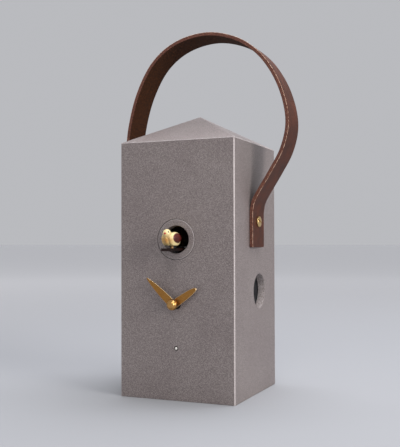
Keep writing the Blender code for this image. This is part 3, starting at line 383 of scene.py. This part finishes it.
def soften(piece, width, segments=2, angle=40):
    """Rounds the edges that are sharper than an angle."""
    modify(piece, "BEVEL", width=width, segments=segments, limit_method="ANGLE",
           angle_limit=math.radians(angle), use_clamp_overlap=True)


def carve(piece, cutter):
    """Cuts a shape out of a piece, and removes the cutter."""
    modify(piece, "BOOLEAN", operation="DIFFERENCE", object=cutter, solver="EXACT")
    bpy.data.objects.remove(cutter, do_unlink=True)


def drum(name, axis, centre, radius, depth, vertices=96):
    """A plain cylinder, used to cut a hole."""
    turn = {"X": (0, math.pi / 2, 0), "Y": (math.pi / 2, 0, 0), "Z": (0, 0, 0)}[axis]
    made = start(bpy.ops.mesh.primitive_cylinder_add, name, vertices=vertices, radius=radius,
                 depth=depth, location=centre, rotation=turn)
    close()
    return made


def finish(piece, body, slot, *materials, replaced=(), angle=40):
    """Shades a piece, gives it its materials and fixes it to its body."""
    bpy.ops.object.select_all(action="DESELECT")
    piece.select_set(True)
    bpy.context.view_layer.objects.active = piece
    bpy.ops.object.shade_smooth_by_angle(angle=math.radians(angle))
    modify(piece, "WEIGHTED_NORMAL", mode="FACE_AREA", weight=50, keep_sharp=True)
    if materials:
        piece.data.materials.clear()
        for material in materials:
            piece.data.materials.append(material)
    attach(piece, body)
    if replaced:
        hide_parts(*replaced)


def whole_copy(node):
    """A copy of a CAD node with its triangles merged and its flat faces made whole."""
    source = frame["nodes"][node]
    bpy.ops.object.select_all(action="DESELECT")
    source.select_set(True)
    bpy.context.view_layer.objects.active = source
    bpy.ops.object.duplicate()
    piece = bpy.context.object
    bpy.ops.object.parent_clear(type="CLEAR_KEEP_TRANSFORM")
    bpy.ops.object.transform_apply(location=True, rotation=True, scale=True)
    piece.name = node + "_finished"
    piece.data.name = piece.name
    bpy.ops.mesh.customdata_custom_splitnormals_clear()
    bpy.ops.object.mode_set(mode="EDIT")
    bpy.ops.mesh.select_all(action="SELECT")
    bpy.ops.mesh.remove_doubles(threshold=0.002 * MM)
    bpy.ops.mesh.dissolve_limited(angle_limit=math.radians(1.5))
    bpy.ops.mesh.select_all(action="DESELECT")
    close()
    return piece


def dressed(node, body, slot, material, round_off, segments=2, angle=40):
    """The finished form of a CAD node: the same shape with its edges rounded."""
    piece = whole_copy(node)
    soften(piece, round_off, segments, angle)
    finish(piece, body, slot, material, replaced=(node,), angle=angle)


# ------------------------------------------------------------------ case

def paint_edge_highlights(piece, test):
    """Gives the faces that pass a test a paler lacquer, as a painted highlight on edges."""
    piece.data.materials.clear()
    piece.data.materials.append(LACQUER)
    piece.data.materials.append(EDGE_HIGHLIGHT_LACQUER)
    for face in piece.data.polygons:
        face.material_index = 1 if test(face) else 0


def long_chamfer(face):
    """True on the narrow faces that lie along the case's upright front edges."""
    slanted = abs(abs(face.normal.x) - abs(face.normal.y)) < 0.1 and abs(face.normal.z) < 0.1
    return slanted and abs(face.center.x) > HALF_WIDTH - 2 * EDGE and face.center.y < FRONT + 2 * EDGE


def sound_bore(face):
    """True on the wall of a side hole."""
    away = math.hypot(face.center.y - SOUND_Y, face.center.z - SOUND_Z)
    return abs(face.normal.x) < 0.1 and abs(away - SOUND_RADIUS) < 0.2 * MM


def make_case_shell():
    """Front and sides, glued at their mitres and lacquered over, so no seam shows."""
    depth = BACK - FRONT
    shell = start(bpy.ops.mesh.primitive_cube_add, "lacquered_case", size=1,
                  location=(0, (FRONT + BACK) / 2, EAVES / 2), scale=(2 * HALF_WIDTH, depth, EAVES))
    pick("faces", lambda f: abs(f.normal.z) > 0.9 or f.normal.y > 0.9)
    bpy.ops.mesh.delete(type="FACE")
    pick("edges", lambda e: abs(e.verts[0].co.z - e.verts[1].co.z) > EAVES / 2 and between(e).y < 0)
    bpy.ops.mesh.bevel(offset=EDGE, segments=1, affect="EDGES")
    close()
    modify(shell, "SOLIDIFY", thickness=WALL, offset=-1, use_even_offset=True)
    carve(shell, drum("cut", "Y", (0, FRONT, WINDOW_Z), RING_RADIUS + RING_SEAM, 3 * WALL, 128))
    carve(shell, drum("cut", "Y", (0, FRONT, HANDS_Z), BUSHING_HOLE, 3 * WALL, 48))
    carve(shell, drum("cut", "Y", (0, FRONT, HANDS_Z), NUT_RECESS, 2 * NUT_DEPTH, 64))
    carve(shell, drum("cut", "Y", (0, FRONT, SENSOR_Z), LENS_RADIUS + GAP, 3 * WALL, 48))
    strap_screw = middle("strap_screw_right")
    for side in (-1, 1):
        x = side * (HALF_WIDTH - WALL / 2)
        carve(shell, drum("cut", "X", (x, SOUND_Y, SOUND_Z), SOUND_RADIUS, 2 * WALL, 128))
        carve(shell, drum("cut", "X", (x, strap_screw.y, strap_screw.z), SHANK_HOLE, 2 * WALL, 24))
    # Painted highlight: the long front chamfers get the paler lacquer.
    paint_edge_highlights(shell, long_chamfer)
    # Painted light: the wall of each side hole gets the paler, dull lacquer.
    shell.data.materials.append(BORE_LACQUER_PAINTED_LIGHTER)
    for face in filter(sound_bore, shell.data.polygons):
        face.material_index = 2
    soften(shell, 0.35 * MM, 2, 30)
    finish(shell, "case", "case_lacquer",
           replaced=("front_panel", "side_panel_left", "side_panel_right"), angle=25)


def make_roof():
    """A shallow pyramid on a low chamfered eave, hollow underneath."""
    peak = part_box("roof")[1][2]
    eave = EDGE * 0.8
    size = (2 * HALF_WIDTH, BACK - FRONT)
    roof = start(bpy.ops.mesh.primitive_cube_add, "pyramid_roof", size=1,
                 location=(0, (FRONT + BACK) / 2, EAVES + eave / 2 + 0.02 * MM),
                 scale=(size[0], size[1], eave))
    pick("verts", lambda v: v.co.z > EAVES + eave / 2)
    bpy.ops.transform.resize(value=(1 - EDGE / size[0], 1 - EDGE / size[1], 1),
                             center_override=(0, (FRONT + BACK) / 2, EAVES))
    pick("faces", lambda f: f.normal.z > 0.9)
    rise = peak - EAVES - eave
    bpy.ops.mesh.extrude_region_move(TRANSFORM_OT_translate={"value": (0, 0, rise)})
    bpy.ops.mesh.merge(type="CENTER")
    pick("faces", lambda f: f.normal.z < -0.9)
    bpy.ops.mesh.inset(thickness=WALL * 1.4)
    bpy.ops.mesh.extrude_region_move(TRANSFORM_OT_translate={"value": (0, 0, rise * 0.66)})
    bpy.ops.mesh.merge(type="CENTER")
    bpy.ops.mesh.select_all(action="DESELECT")
    close()
    # Painted highlight: the eave's upward chamfer gets the paler lacquer.
    paint_edge_highlights(roof, lambda face: face.center.z < EAVES + eave and face.normal.z > 0.2)
    soften(roof, 0.45 * MM, 3, 15)
    finish(roof, "case", "case_lacquer", replaced=("roof",), angle=25)


def spun(name, axis_point, axis, profile, steps=128):
    """A turned piece: the outline's points, as (radius, depth), spun about an axis."""
    way = Vector(axis)
    across = Vector((0, 0, 1)) if abs(way.z) < 0.5 else Vector((1, 0, 0))
    piece = start(bpy.ops.mesh.primitive_plane_add, name, size=0.001, location=axis_point)
    bpy.ops.mesh.select_all(action="SELECT")
    bpy.ops.mesh.delete(type="VERT")
    shape = bmesh.from_edit_mesh(piece.data)
    points = [shape.verts.new(Vector(axis_point) + across * r + way * h) for r, h in profile]
    for pair in zip(points, points[1:]):
        shape.edges.new(pair)
    bmesh.update_edit_mesh(piece.data)
    bpy.ops.mesh.select_all(action="SELECT")
    bpy.ops.mesh.spin(steps=steps, angle=2 * math.pi, center=axis_point, axis=tuple(way))
    bpy.ops.mesh.select_all(action="SELECT")
    bpy.ops.mesh.remove_doubles(threshold=0.002 * MM)
    bpy.ops.mesh.normals_make_consistent(inside=False)
    bpy.ops.mesh.select_all(action="DESELECT")
    close()
    return piece


def rounded(corners, radius, steps=4):
    """A closed outline whose corners are turned into arcs."""
    count = len(corners)
    outline = []
    for i, corner in enumerate(corners):
        here = Vector(corner)
        back = Vector(corners[i - 1]) - here
        ahead = Vector(corners[(i + 1) % count]) - here
        reach = min(radius, back.length * 0.45, ahead.length * 0.45)
        first = here + back.normalized() * reach
        last = here + ahead.normalized() * reach
        for step in range(steps + 1):
            t = step / steps
            outline.append(tuple(first * (1 - t) ** 2 + here * 2 * t * (1 - t) + last * t ** 2))
    return outline + [outline[0]]


def make_window_ring():
    """A turned ring, flush with the front, whose flange stands behind the panel."""
    low, high = map(Vector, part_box("window_ring"))
    behind = FRONT + WALL + GAP
    rim = RING_RADIUS - 0.2 * MM
    corners = [(WINDOW_RADIUS, FRONT), (rim, FRONT), (rim, behind),
               (high.x, behind), (high.x, high.y), (WINDOW_RADIUS, high.y)]
    ring = spun("window_ring_finished", (0, 0, WINDOW_Z), (0, 1, 0), rounded(corners, 1.1 * MM))
    # Painted highlight: the ring's rounded rim gets the paler lacquer.
    paint_edge_highlights(ring, lambda f: f.center.y < FRONT + 0.7 * MM and abs(f.normal.y) < 0.97
               and (f.center - Vector((0, FRONT, WINDOW_Z))).length > RING_RADIUS - MM)
    finish(ring, "case", "case_lacquer", replaced=("window_ring",), angle=35)


# ------------------------------------------------------------------ strap

# The strap's line from the right side over the roof to the left, as (x, height above the eaves)
# in millimetres: a springy band that leans a little to the right.
STRAP_ARCH = ((75.4, -78), (79.6, -65), (98.8, -34), (112.5, -9), (119, 19), (115.3, 48), (103.5, 78),
              (84, 105), (56, 125), (18, 134.5), (-22, 127.5), (-53, 106), (-74, 71), (-86, 31),
              (-89.5, -4), (-84.5, -42), (-78.3, -66), (-75.4, -78))


def smooth_route(points, steps):
    """A smooth line through the points, with that many steps between each two."""
    ends = [points[0]] + list(points) + [points[-1]]
    route = []
    for before, start_at, end_at, after in zip(ends, ends[1:], ends[2:], ends[3:]):
        for step in range(steps):
            t = step / steps
            route.append(0.5 * (2 * start_at + (end_at - before) * t
                                + (2 * before - 5 * start_at + 4 * end_at - after) * t ** 2
                                + (3 * start_at - before - 3 * end_at + after) * t ** 3))
    return route + [points[-1]]


def make_strap():
    """One band of bridle leather, extruded station by station along its route."""
    low, high = map(Vector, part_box("strap"))
    seat = HALF_WIDTH + GAP + STRAP_THICK / 2
    bend = EAVES - STRAP_BEND
    ends = [Vector((seat, 0, z)) for z in (low.z, bend - STRAP_STRAIGHT, bend)]
    arch = [Vector((x * MM, 0, EAVES + z * MM)) for x, z in STRAP_ARCH]
    other = [Vector((-p.x, 0, p.z)) for p in reversed(ends)]
    route = smooth_route(ends + arch + other, 8)
    width = high.y - low.y
    strap = start(bpy.ops.mesh.primitive_plane_add, "leather_strap", size=width,
                  location=(seat, (low.y + high.y) / 2, low.z - width / 2),
                  rotation=(math.pi / 2, 0, math.pi / 2))
    pick("verts", lambda v: v.co.z < low.z - width / 2)
    bpy.ops.mesh.delete(type="VERT")
    pick("edges", lambda e: True)
    for here, there in zip(route, route[1:]):
        step = there - here
        bpy.ops.mesh.extrude_region_move(TRANSFORM_OT_translate={"value": tuple(step)})
    bpy.ops.mesh.select_all(action="SELECT")
    bpy.ops.mesh.normals_make_consistent(inside=False)
    pick("verts", lambda v: v.co.z < low.z + 0.1 * MM and v.co.y > 0)
    bpy.ops.mesh.bevel(offset=3 * MM, segments=3, affect="VERTICES")
    pick("verts", lambda v: v.co.z < low.z + 0.1 * MM and v.co.y < low.y + 0.1 * MM)
    bpy.ops.mesh.bevel(offset=1 * MM, segments=2, affect="VERTICES")
    bpy.ops.mesh.select_all(action="SELECT")
    shape = bmesh.from_edit_mesh(strap.data)
    top = max(shape.faces, key=lambda f: f.calc_center_median().z)
    if top.normal.z < 0:
        bpy.ops.mesh.flip_normals()
    close()
    modify(strap, "SOLIDIFY", thickness=STRAP_THICK, offset=0, use_even_offset=True,
           material_offset=1, material_offset_rim=2)
    for material in (GRAIN_LEATHER, FLESH_LEATHER, CUT_LEATHER, FIBRES_AND_HIGHLIGHT_LEATHER):
        strap.data.materials.append(material)
    mark_strap_sides(strap, route)
    soften(strap, 1.0 * MM, 3, 50)
    mark_strap_corners(strap)
    finish(strap, "case", "strap_leather", replaced=("strap",), angle=60)


def mark_strap_sides(strap, route):
    """Grain outside, flesh inside, and the cut edge on the rim."""
    for face in strap.data.polygons:
        centre = face.center
        if abs(face.normal.y) > 0.7 or face.normal.z < -0.9 and centre.z < route[0].z + 1 * MM:
            face.material_index = 2
            continue
        face.material_index = 1 if face.normal.dot(inward_way(centre)) > 0 else 0


def inward_way(centre):
    """The way from a point of the strap towards the hollow of its loop."""
    if centre.z < EAVES - 20 * MM:
        return Vector((-centre.x, 0, 0))
    return Vector((15 * MM - centre.x, 0, EAVES + 20 * MM - centre.z))


def mark_strap_corners(strap):
    """Flecks, and a painted highlight, on the rounded corners between the cut edges and the grain side."""
    for face in strap.data.polygons:
        if 0.2 < abs(face.normal.y) < 0.97 and face.normal.dot(inward_way(face.center)) < 0:
            face.material_index = 3


def make_strap_screws():
    """Slotted round-head brass screws, one through each end of the strap."""
    for node, side in (("strap_screw_left", -1), ("strap_screw_right", 1)):
        low, high = map(Vector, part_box(node))
        centre = (low + high) / 2
        seat = (high.x if side > 0 else low.x) - side * SCREW_HEAD
        shank = (low.x if side > 0 else high.x) - seat
        radius = (high.z - low.z) / 2
        head = [(0, side * SCREW_HEAD)]
        for angle in range(12, 85, 12):
            turn = math.radians(angle)
            dome = (SCREW_HEAD - SCREW_RIM) * math.cos(turn) ** 0.6
            head.append((radius * math.sin(turn) * 0.97, side * (SCREW_RIM + dome)))
        head += [(radius, side * SCREW_RIM), (radius, side * 0.25 * MM), (radius - 0.25 * MM, 0),
                 (2 * MM, 0), (2 * MM, shank + side * 0.8 * MM), (1.2 * MM, shank), (0, shank)]
        made = spun(node + "_turned", (seat, centre.y, centre.z), (1, 0, 0), head, 64)
        slot = start(bpy.ops.mesh.primitive_cube_add, "cut", size=1,
                     location=(seat + side * SCREW_HEAD, centre.y, centre.z),
                     rotation=(SLOT_TURN, 0, 0), scale=(2.6 * MM, 4 * radius, SCREW_SLOT))
        close()
        carve(made, slot)
        soften(made, 0.12 * MM, 2, 50)
        finish(made, "case", "brass", SCREW_BRASS, replaced=(node,), angle=35)


# ------------------------------------------------------------------ hands and dial pieces

def make_hands():
    """Flat leaf hands punched from sheet brass, with a polished cap over the arbor."""
    for node, body in (("hour_hand", "hour_train"), ("minute_hand", "minute_train")):
        hand = whole_copy(node)
        soften(hand, 0.45 * MM, 1, 30)
        hand.data.materials.clear()
        hand.data.materials.append(SATIN_BRASS)
        hand.data.materials.append(BRASS_EDGE_HIGHLIGHT)
        # Painted highlight: the hands' narrow edges get the pale brass.
        for face in hand.data.polygons:
            face.material_index = 1 if abs(face.normal.y) < 0.9 else 0
        finish(hand, body, "brass", replaced=(node,), angle=25)
    low, high = map(Vector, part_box("hand_cap"))
    radius = high.x
    depth = high.y - low.y
    dome = [(0, 0)]
    for angle in range(6, 90, 6):
        turn = math.radians(angle)
        groove = 0.35 * MM if angle in (42, 48) else 0
        dome.append((radius * math.sin(turn), (depth - CAP_RIM) * (1 - math.cos(turn)) + groove))
    dome += [(radius, depth - CAP_RIM), (radius, depth - 0.5 * MM), (radius - 0.5 * MM, depth),
             (1.5 * MM, depth), (1.5 * MM, depth - 2.6 * MM), (0, depth - 2.6 * MM)]
    cap = spun("hand_cap_turned", (0, low.y, HANDS_Z), (0, 1, 0), dome, 96)
    finish(cap, "minute_train", "brass", POLISHED_BRASS, replaced=("hand_cap",), angle=50)


def make_sensor():
    """A domed lens in the front panel, with a pale spot painted on its tip as its highlight."""
    low, high = map(Vector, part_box("light_sensor"))
    radius = high.x
    dome = [(0, 0)]
    for angle in range(10, 91, 10):
        turn = math.radians(angle)
        dome.append((radius * math.sin(turn), LENS_RISE * (1 - math.cos(turn))))
    dome += [(radius, high.y - low.y), (0, high.y - low.y)]
    lens = spun("light_sensor_cast", (0, low.y, SENSOR_Z), (0, 1, 0), dome, 48)
    lens.data.materials.append(CLEAR_LENS)
    lens.data.materials.append(LENS_TIP_HIGHLIGHT)
    # Painted highlight: the faces at the dome's tip are pale.
    for face in lens.data.polygons:
        if face.center.y < low.y + 0.45 * MM:
            face.material_index = 1
    finish(lens, "case", "sensor_lens", replaced=("light_sensor",), angle=50)
    dressed("sensor_holder", "case", "black_plastic", BLACK_PLASTIC, 0.2 * MM, 2, 40)


# ------------------------------------------------------------------ bird

def egg(name, centre, size):
    """A ball pulled out to an egg, as a start for carving."""
    made = start(bpy.ops.mesh.primitive_uv_sphere_add, name, segments=40, ring_count=24, radius=1,
                 location=centre, scale=size)
    close()
    return made


def join(first, *others):
    """Makes several pieces one mesh."""
    bpy.ops.object.select_all(action="DESELECT")
    for piece in (first, *others):
        piece.select_set(True)
    bpy.context.view_layer.objects.active = first
    bpy.ops.object.join()
    return first


def breast_line(side, share):
    """A point of the line carved between the breast and a wing's shoulder; share runs 0 to 1."""
    nose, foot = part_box("bird_body")[0][1:]
    across = (1.6 + 2.2 * math.sin(math.pi * share) + 0.6 * share) * MM
    back = (2.2 + 13 * share ** 2.6) * MM
    return Vector((side * across, nose + back, foot + 9.0 * MM * (1 - share)))


def flatten_underside(bird, foot):
    """Squares the lower half of the body, and saws it flat above the perch."""
    waist = foot + BIRD_WAIST
    bpy.context.view_layer.objects.active = bird
    bpy.ops.object.mode_set(mode="EDIT")
    pick("verts", lambda v: v.co.z < waist)
    bpy.ops.transform.resize(value=(1.0, 1.0, 1.22), center_override=(0, 0, waist))
    bpy.ops.mesh.select_all(action="SELECT")
    bpy.ops.mesh.bisect(plane_co=(0, 0, foot + 0.15 * MM), plane_no=(0, 0, -1), clear_outer=True,
                        use_fill=True)
    close()


def carve_bird():
    """The body, head and tail as one carving, with a line cut between breast and wings."""
    nose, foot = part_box("bird_body")[0][1:]
    bird = egg("bird_painted", (0, nose + 16.4 * MM, foot + BIRD_WAIST), (5.6 * MM, 15.4 * MM, 7.5 * MM))
    parts = [egg("head", (0, nose + 5.1 * MM, foot + 13.4 * MM), (4.95 * MM, 5.1 * MM, 5.25 * MM)),
             egg("tail", (0, nose + 34.6 * MM, foot + 8.6 * MM), (3.4 * MM, 6.2 * MM, 2.3 * MM))]
    for side in (-1, 1):
        parts.append(egg("shoulder", (side * 4.3 * MM, nose + 16.6 * MM, foot + 7.9 * MM),
                         (4.5 * MM, 14.0 * MM, 7.6 * MM)))
    join(bird, *parts)
    modify(bird, "REMESH", mode="VOXEL", voxel_size=0.3 * MM)
    modify(bird, "SMOOTH", factor=0.6, iterations=5)
    flatten_underside(bird, foot)
    path = [breast_line(side, step / 24) for side in (-1, 1) for step in range(25)]

    def on_line(vert):
        away = min(math.hypot(vert.co.x - p.x, vert.co.z - p.z) + 0.15 * abs(vert.co.y - p.y)
                   for p in path)
        return away < 0.42 * MM

    bpy.context.view_layer.objects.active = bird
    bpy.ops.object.mode_set(mode="EDIT")
    pick("verts", lambda v: v.co.y < nose + 18 * MM and on_line(v))
    bpy.ops.transform.shrink_fatten(value=-0.55 * MM)
    bpy.ops.mesh.select_all(action="DESELECT")
    close()
    modify(bird, "SMOOTH", factor=0.5, iterations=2)
    carve(bird, drum("cut", "Z", (0, middle("bird_leg").y, foot), 1.75 * MM, 6 * MM, 32))
    finish(bird, "bird", "bird_cream", CREAM_PAINT, replaced=("bird_body",), angle=70)


def make_wing(node):
    """A wing as a leaf laid on the shoulder, narrower towards its tip."""
    low, high = map(Vector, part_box(node))
    centre = (low + high) / 2
    size = (high - low) / 2
    centre.z -= 1.0 * MM
    size.x *= 1.25
    size.z *= 1.15
    wing = egg(node + "_painted", centre, size)
    bpy.context.view_layer.objects.active = wing
    bpy.ops.object.mode_set(mode="EDIT")
    pick("verts", lambda v: v.co.y > centre.y + size.y * 0.45)
    bpy.ops.transform.resize(value=(0.92, 1.0, 0.9), center_override=tuple(centre))
    close()
    modify(wing, "SMOOTH", factor=0.5, iterations=2)
    finish(wing, "bird", "bird_red", RED_PAINT, replaced=(node,), angle=70)


def make_bird():
    """A small carved and painted wooden bird on a peg."""
    carve_bird()
    make_wing("bird_wing_left")
    make_wing("bird_wing_right")
    low, high = map(Vector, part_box("bird_beak"))
    outline = [(0, 0), (0.4 * MM, 0.2 * MM), (0.9 * MM, 1.1 * MM), (1.28 * MM, 2.4 * MM),
               (1.28 * MM, 4.2 * MM), (0, 4.2 * MM)]
    beak = spun("bird_beak_painted", (0, low.y, (low.z + high.z) / 2), (0, 1, 0), outline, 32)
    finish(beak, "bird", "bird_red", BEAK_PAINT, replaced=("bird_beak",), angle=60)
    nose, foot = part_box("bird_body")[0][1:]
    for side, name in ((-1, "bird_eye_left"), (1, "bird_eye_right")):
        eye = egg(name, (side * 3.55 * MM, nose + 2.0 * MM, foot + 15.4 * MM),
                  (0.7 * MM, 0.8 * MM, 0.85 * MM))
        finish(eye, "bird", "bird_red", BLACK_PAINT, angle=60)
    dressed("bird_leg", "bird", "raw_wood", BEECH_PEG, 0.2 * MM)
    dressed("bird_carriage", "bird", "perch_brown", STAINED_BEECH, 0.35 * MM, 3)


# ------------------------------------------------------------------ the rest of the pieces

def make_plain_pieces():
    """CAD pieces whose shape is right: their finish is given, and all but the gears have their edges
    rounded.
    """
    own_body = {"rear_door": "door", "door_strike": "door", "setting_knob": "setting_body",
                "volume_knob": "volume_body", "switch_lever": "switch_body"}
    kinds = (
        ("case_lacquer", LACQUER, 0.5 * MM, 2, 50, ("bottom_panel", "rear_panel")),
        ("case_lacquer", LACQUER, 0.6 * MM, 2, 50, ("rear_door",)),
        ("steel", ZINC_STEEL, 0.2 * MM, 2, 40, (
            "gear_motor", "door_pin_lower", "door_pin_upper", "door_strike", "hanger_plate",
            "hanger_screw_left", "hanger_screw_right", "panel_screw_lower_left",
            "panel_screw_lower_right", "panel_screw_upper_left", "panel_screw_upper_right",
            "speaker_frame", "board_bracket")),
        ("black_plastic", BLACK_PLASTIC, 0.25 * MM, 2, 40, (
            "movement_housing", "movement_nut", "setting_knob", "magnet_catch", "battery_holder",
            "volume_knob")),
        ("grey_plastic", GREY_PLASTIC, 0.3 * MM, 2, 40, ("movement_cover", "guide_frame")),
        ("white_plastic", WHITE_PLASTIC, 0.2 * MM, 2, 40, ("step_motor", "switch_lever")),
        ("raw_wood", PLANED_PINE, 0.4 * MM, 2, 40, ("corner_block_left", "corner_block_right")),
        ("battery_label", CELL_SLEEVE, 0.4 * MM, 3, 40, ("battery_front", "battery_rear")),
        ("paper_cone", PAPER_CONE, 0.15 * MM, 2, 25, ("speaker_cone",)),
        ("circuit_green", SOLDER_MASK, 0.15 * MM, 2, 40, ("circuit_board",)),
    )
    for slot, material, round_off, segments, angle, nodes in kinds:
        for node in nodes:
            dressed(node, own_body.get(node, "case"), slot, material, round_off, segments, angle)
    gears = {"minute_arbor": GROUND_STEEL, "centre_wheel": WHEEL_BRASS, "hour_wheel": WHEEL_BRASS,
             "minute_wheel": WHITE_PLASTIC, "third_wheel": WHITE_PLASTIC,
             "rotor_pinion": WHITE_PLASTIC, "drive_pinion": WHITE_PLASTIC}
    for node, material in gears.items():
        shown = frame["nodes"][node]
        shown.data.materials.clear()
        shown.data.materials.append(material)


# ------------------------------------------------------------------ studio

def make_studio():
    """A pale floor, a pale world and soft lights."""
    floor = start(bpy.ops.mesh.primitive_plane_add, "studio_floor", size=60, location=(0, 0, -0.2 * MM))
    close()
    made, tree, shader, place = new_material("matt_painted_board", Roughness=0.9)
    # Painted shade: the floor is darker near the clock and pales up to 3 m off, evening out the lamps'
    # light and meeting the world's tone at the horizon.
    away = add(tree, "VectorMath", {0: place}, operation="LENGTH")
    reach = add(tree, "MapRange", {"Value": away.outputs["Value"], "From Min": 0.3, "From Max": 3.0},
                interpolation_type="SMOOTHSTEP")
    shade = add(tree, "ValToRGB", {"Fac": reach.outputs["Result"]}, ((0.0, "#9C9DA0"), (1.0, "#F8F8FA")))
    tree.links.new(shade.outputs["Color"], shader.inputs["Base Color"])
    floor.data.materials.append(made)
    world = bpy.data.worlds.new("pale_studio")
    bpy.context.scene.world = world
    world.use_nodes = True
    sky = world.node_tree.nodes["Background"]
    sky.inputs["Color"].default_value = colour("#BEBFC3")
    sky.inputs["Strength"].default_value = 0.95
    lights = (("overhead", (0.15, 0.25, 1.5), 24.0, 1.0, 180, "#F8F9FF"),
              ("front_top", (0.5, -1.1, 1.3), 7.5, 0.7, 180, "#FFFFFF"),
              ("side_right", (2.8, -1.03, 1.0), 8.0, 1.4, 60, "#FFFCFA"))
    for name, place_at, power, size, spread_angle, code in lights:
        light = bpy.data.lights.new(name, "AREA")
        light.energy = power
        light.size = size
        light.color = colour(code)[:3]
        light.spread = math.radians(spread_angle)
        lamp = bpy.data.objects.new(name, light)
        bpy.context.scene.collection.objects.link(lamp)
        lamp.location = place_at
        aim = Vector((0, 0, 0.2)) - Vector(place_at)
        lamp.rotation_euler = aim.to_track_quat("-Z", "Y").to_euler()


def make_camera():
    """A long-lens view from the right, level with the middle of the case."""
    data = bpy.data.cameras.new("camera")
    data.sensor_width = 36
    data.lens = 62.27
    data.shift_x = 0.0034
    camera = bpy.data.objects.new("camera", data)
    bpy.context.scene.collection.objects.link(camera)
    yaw, pitch, roll = map(math.radians, (23.326, 1.299, -0.146))
    turn = (Matrix.Rotation(yaw, 3, "Z") @ Matrix.Rotation(math.pi / 2 + pitch, 3, "X")
            @ Matrix.Rotation(roll, 3, "Z"))
    camera.rotation_euler = turn.to_euler()
    camera.location = (377.8 * MM, -882.6 * MM, 183.6 * MM)
    bpy.context.scene.camera = camera
    bpy.context.scene.view_settings.view_transform = "Standard"


make_case_shell()
make_roof()
make_window_ring()
make_strap()
make_strap_screws()
make_hands()
make_sensor()
make_bird()
make_plain_pieces()
make_studio()
make_camera()
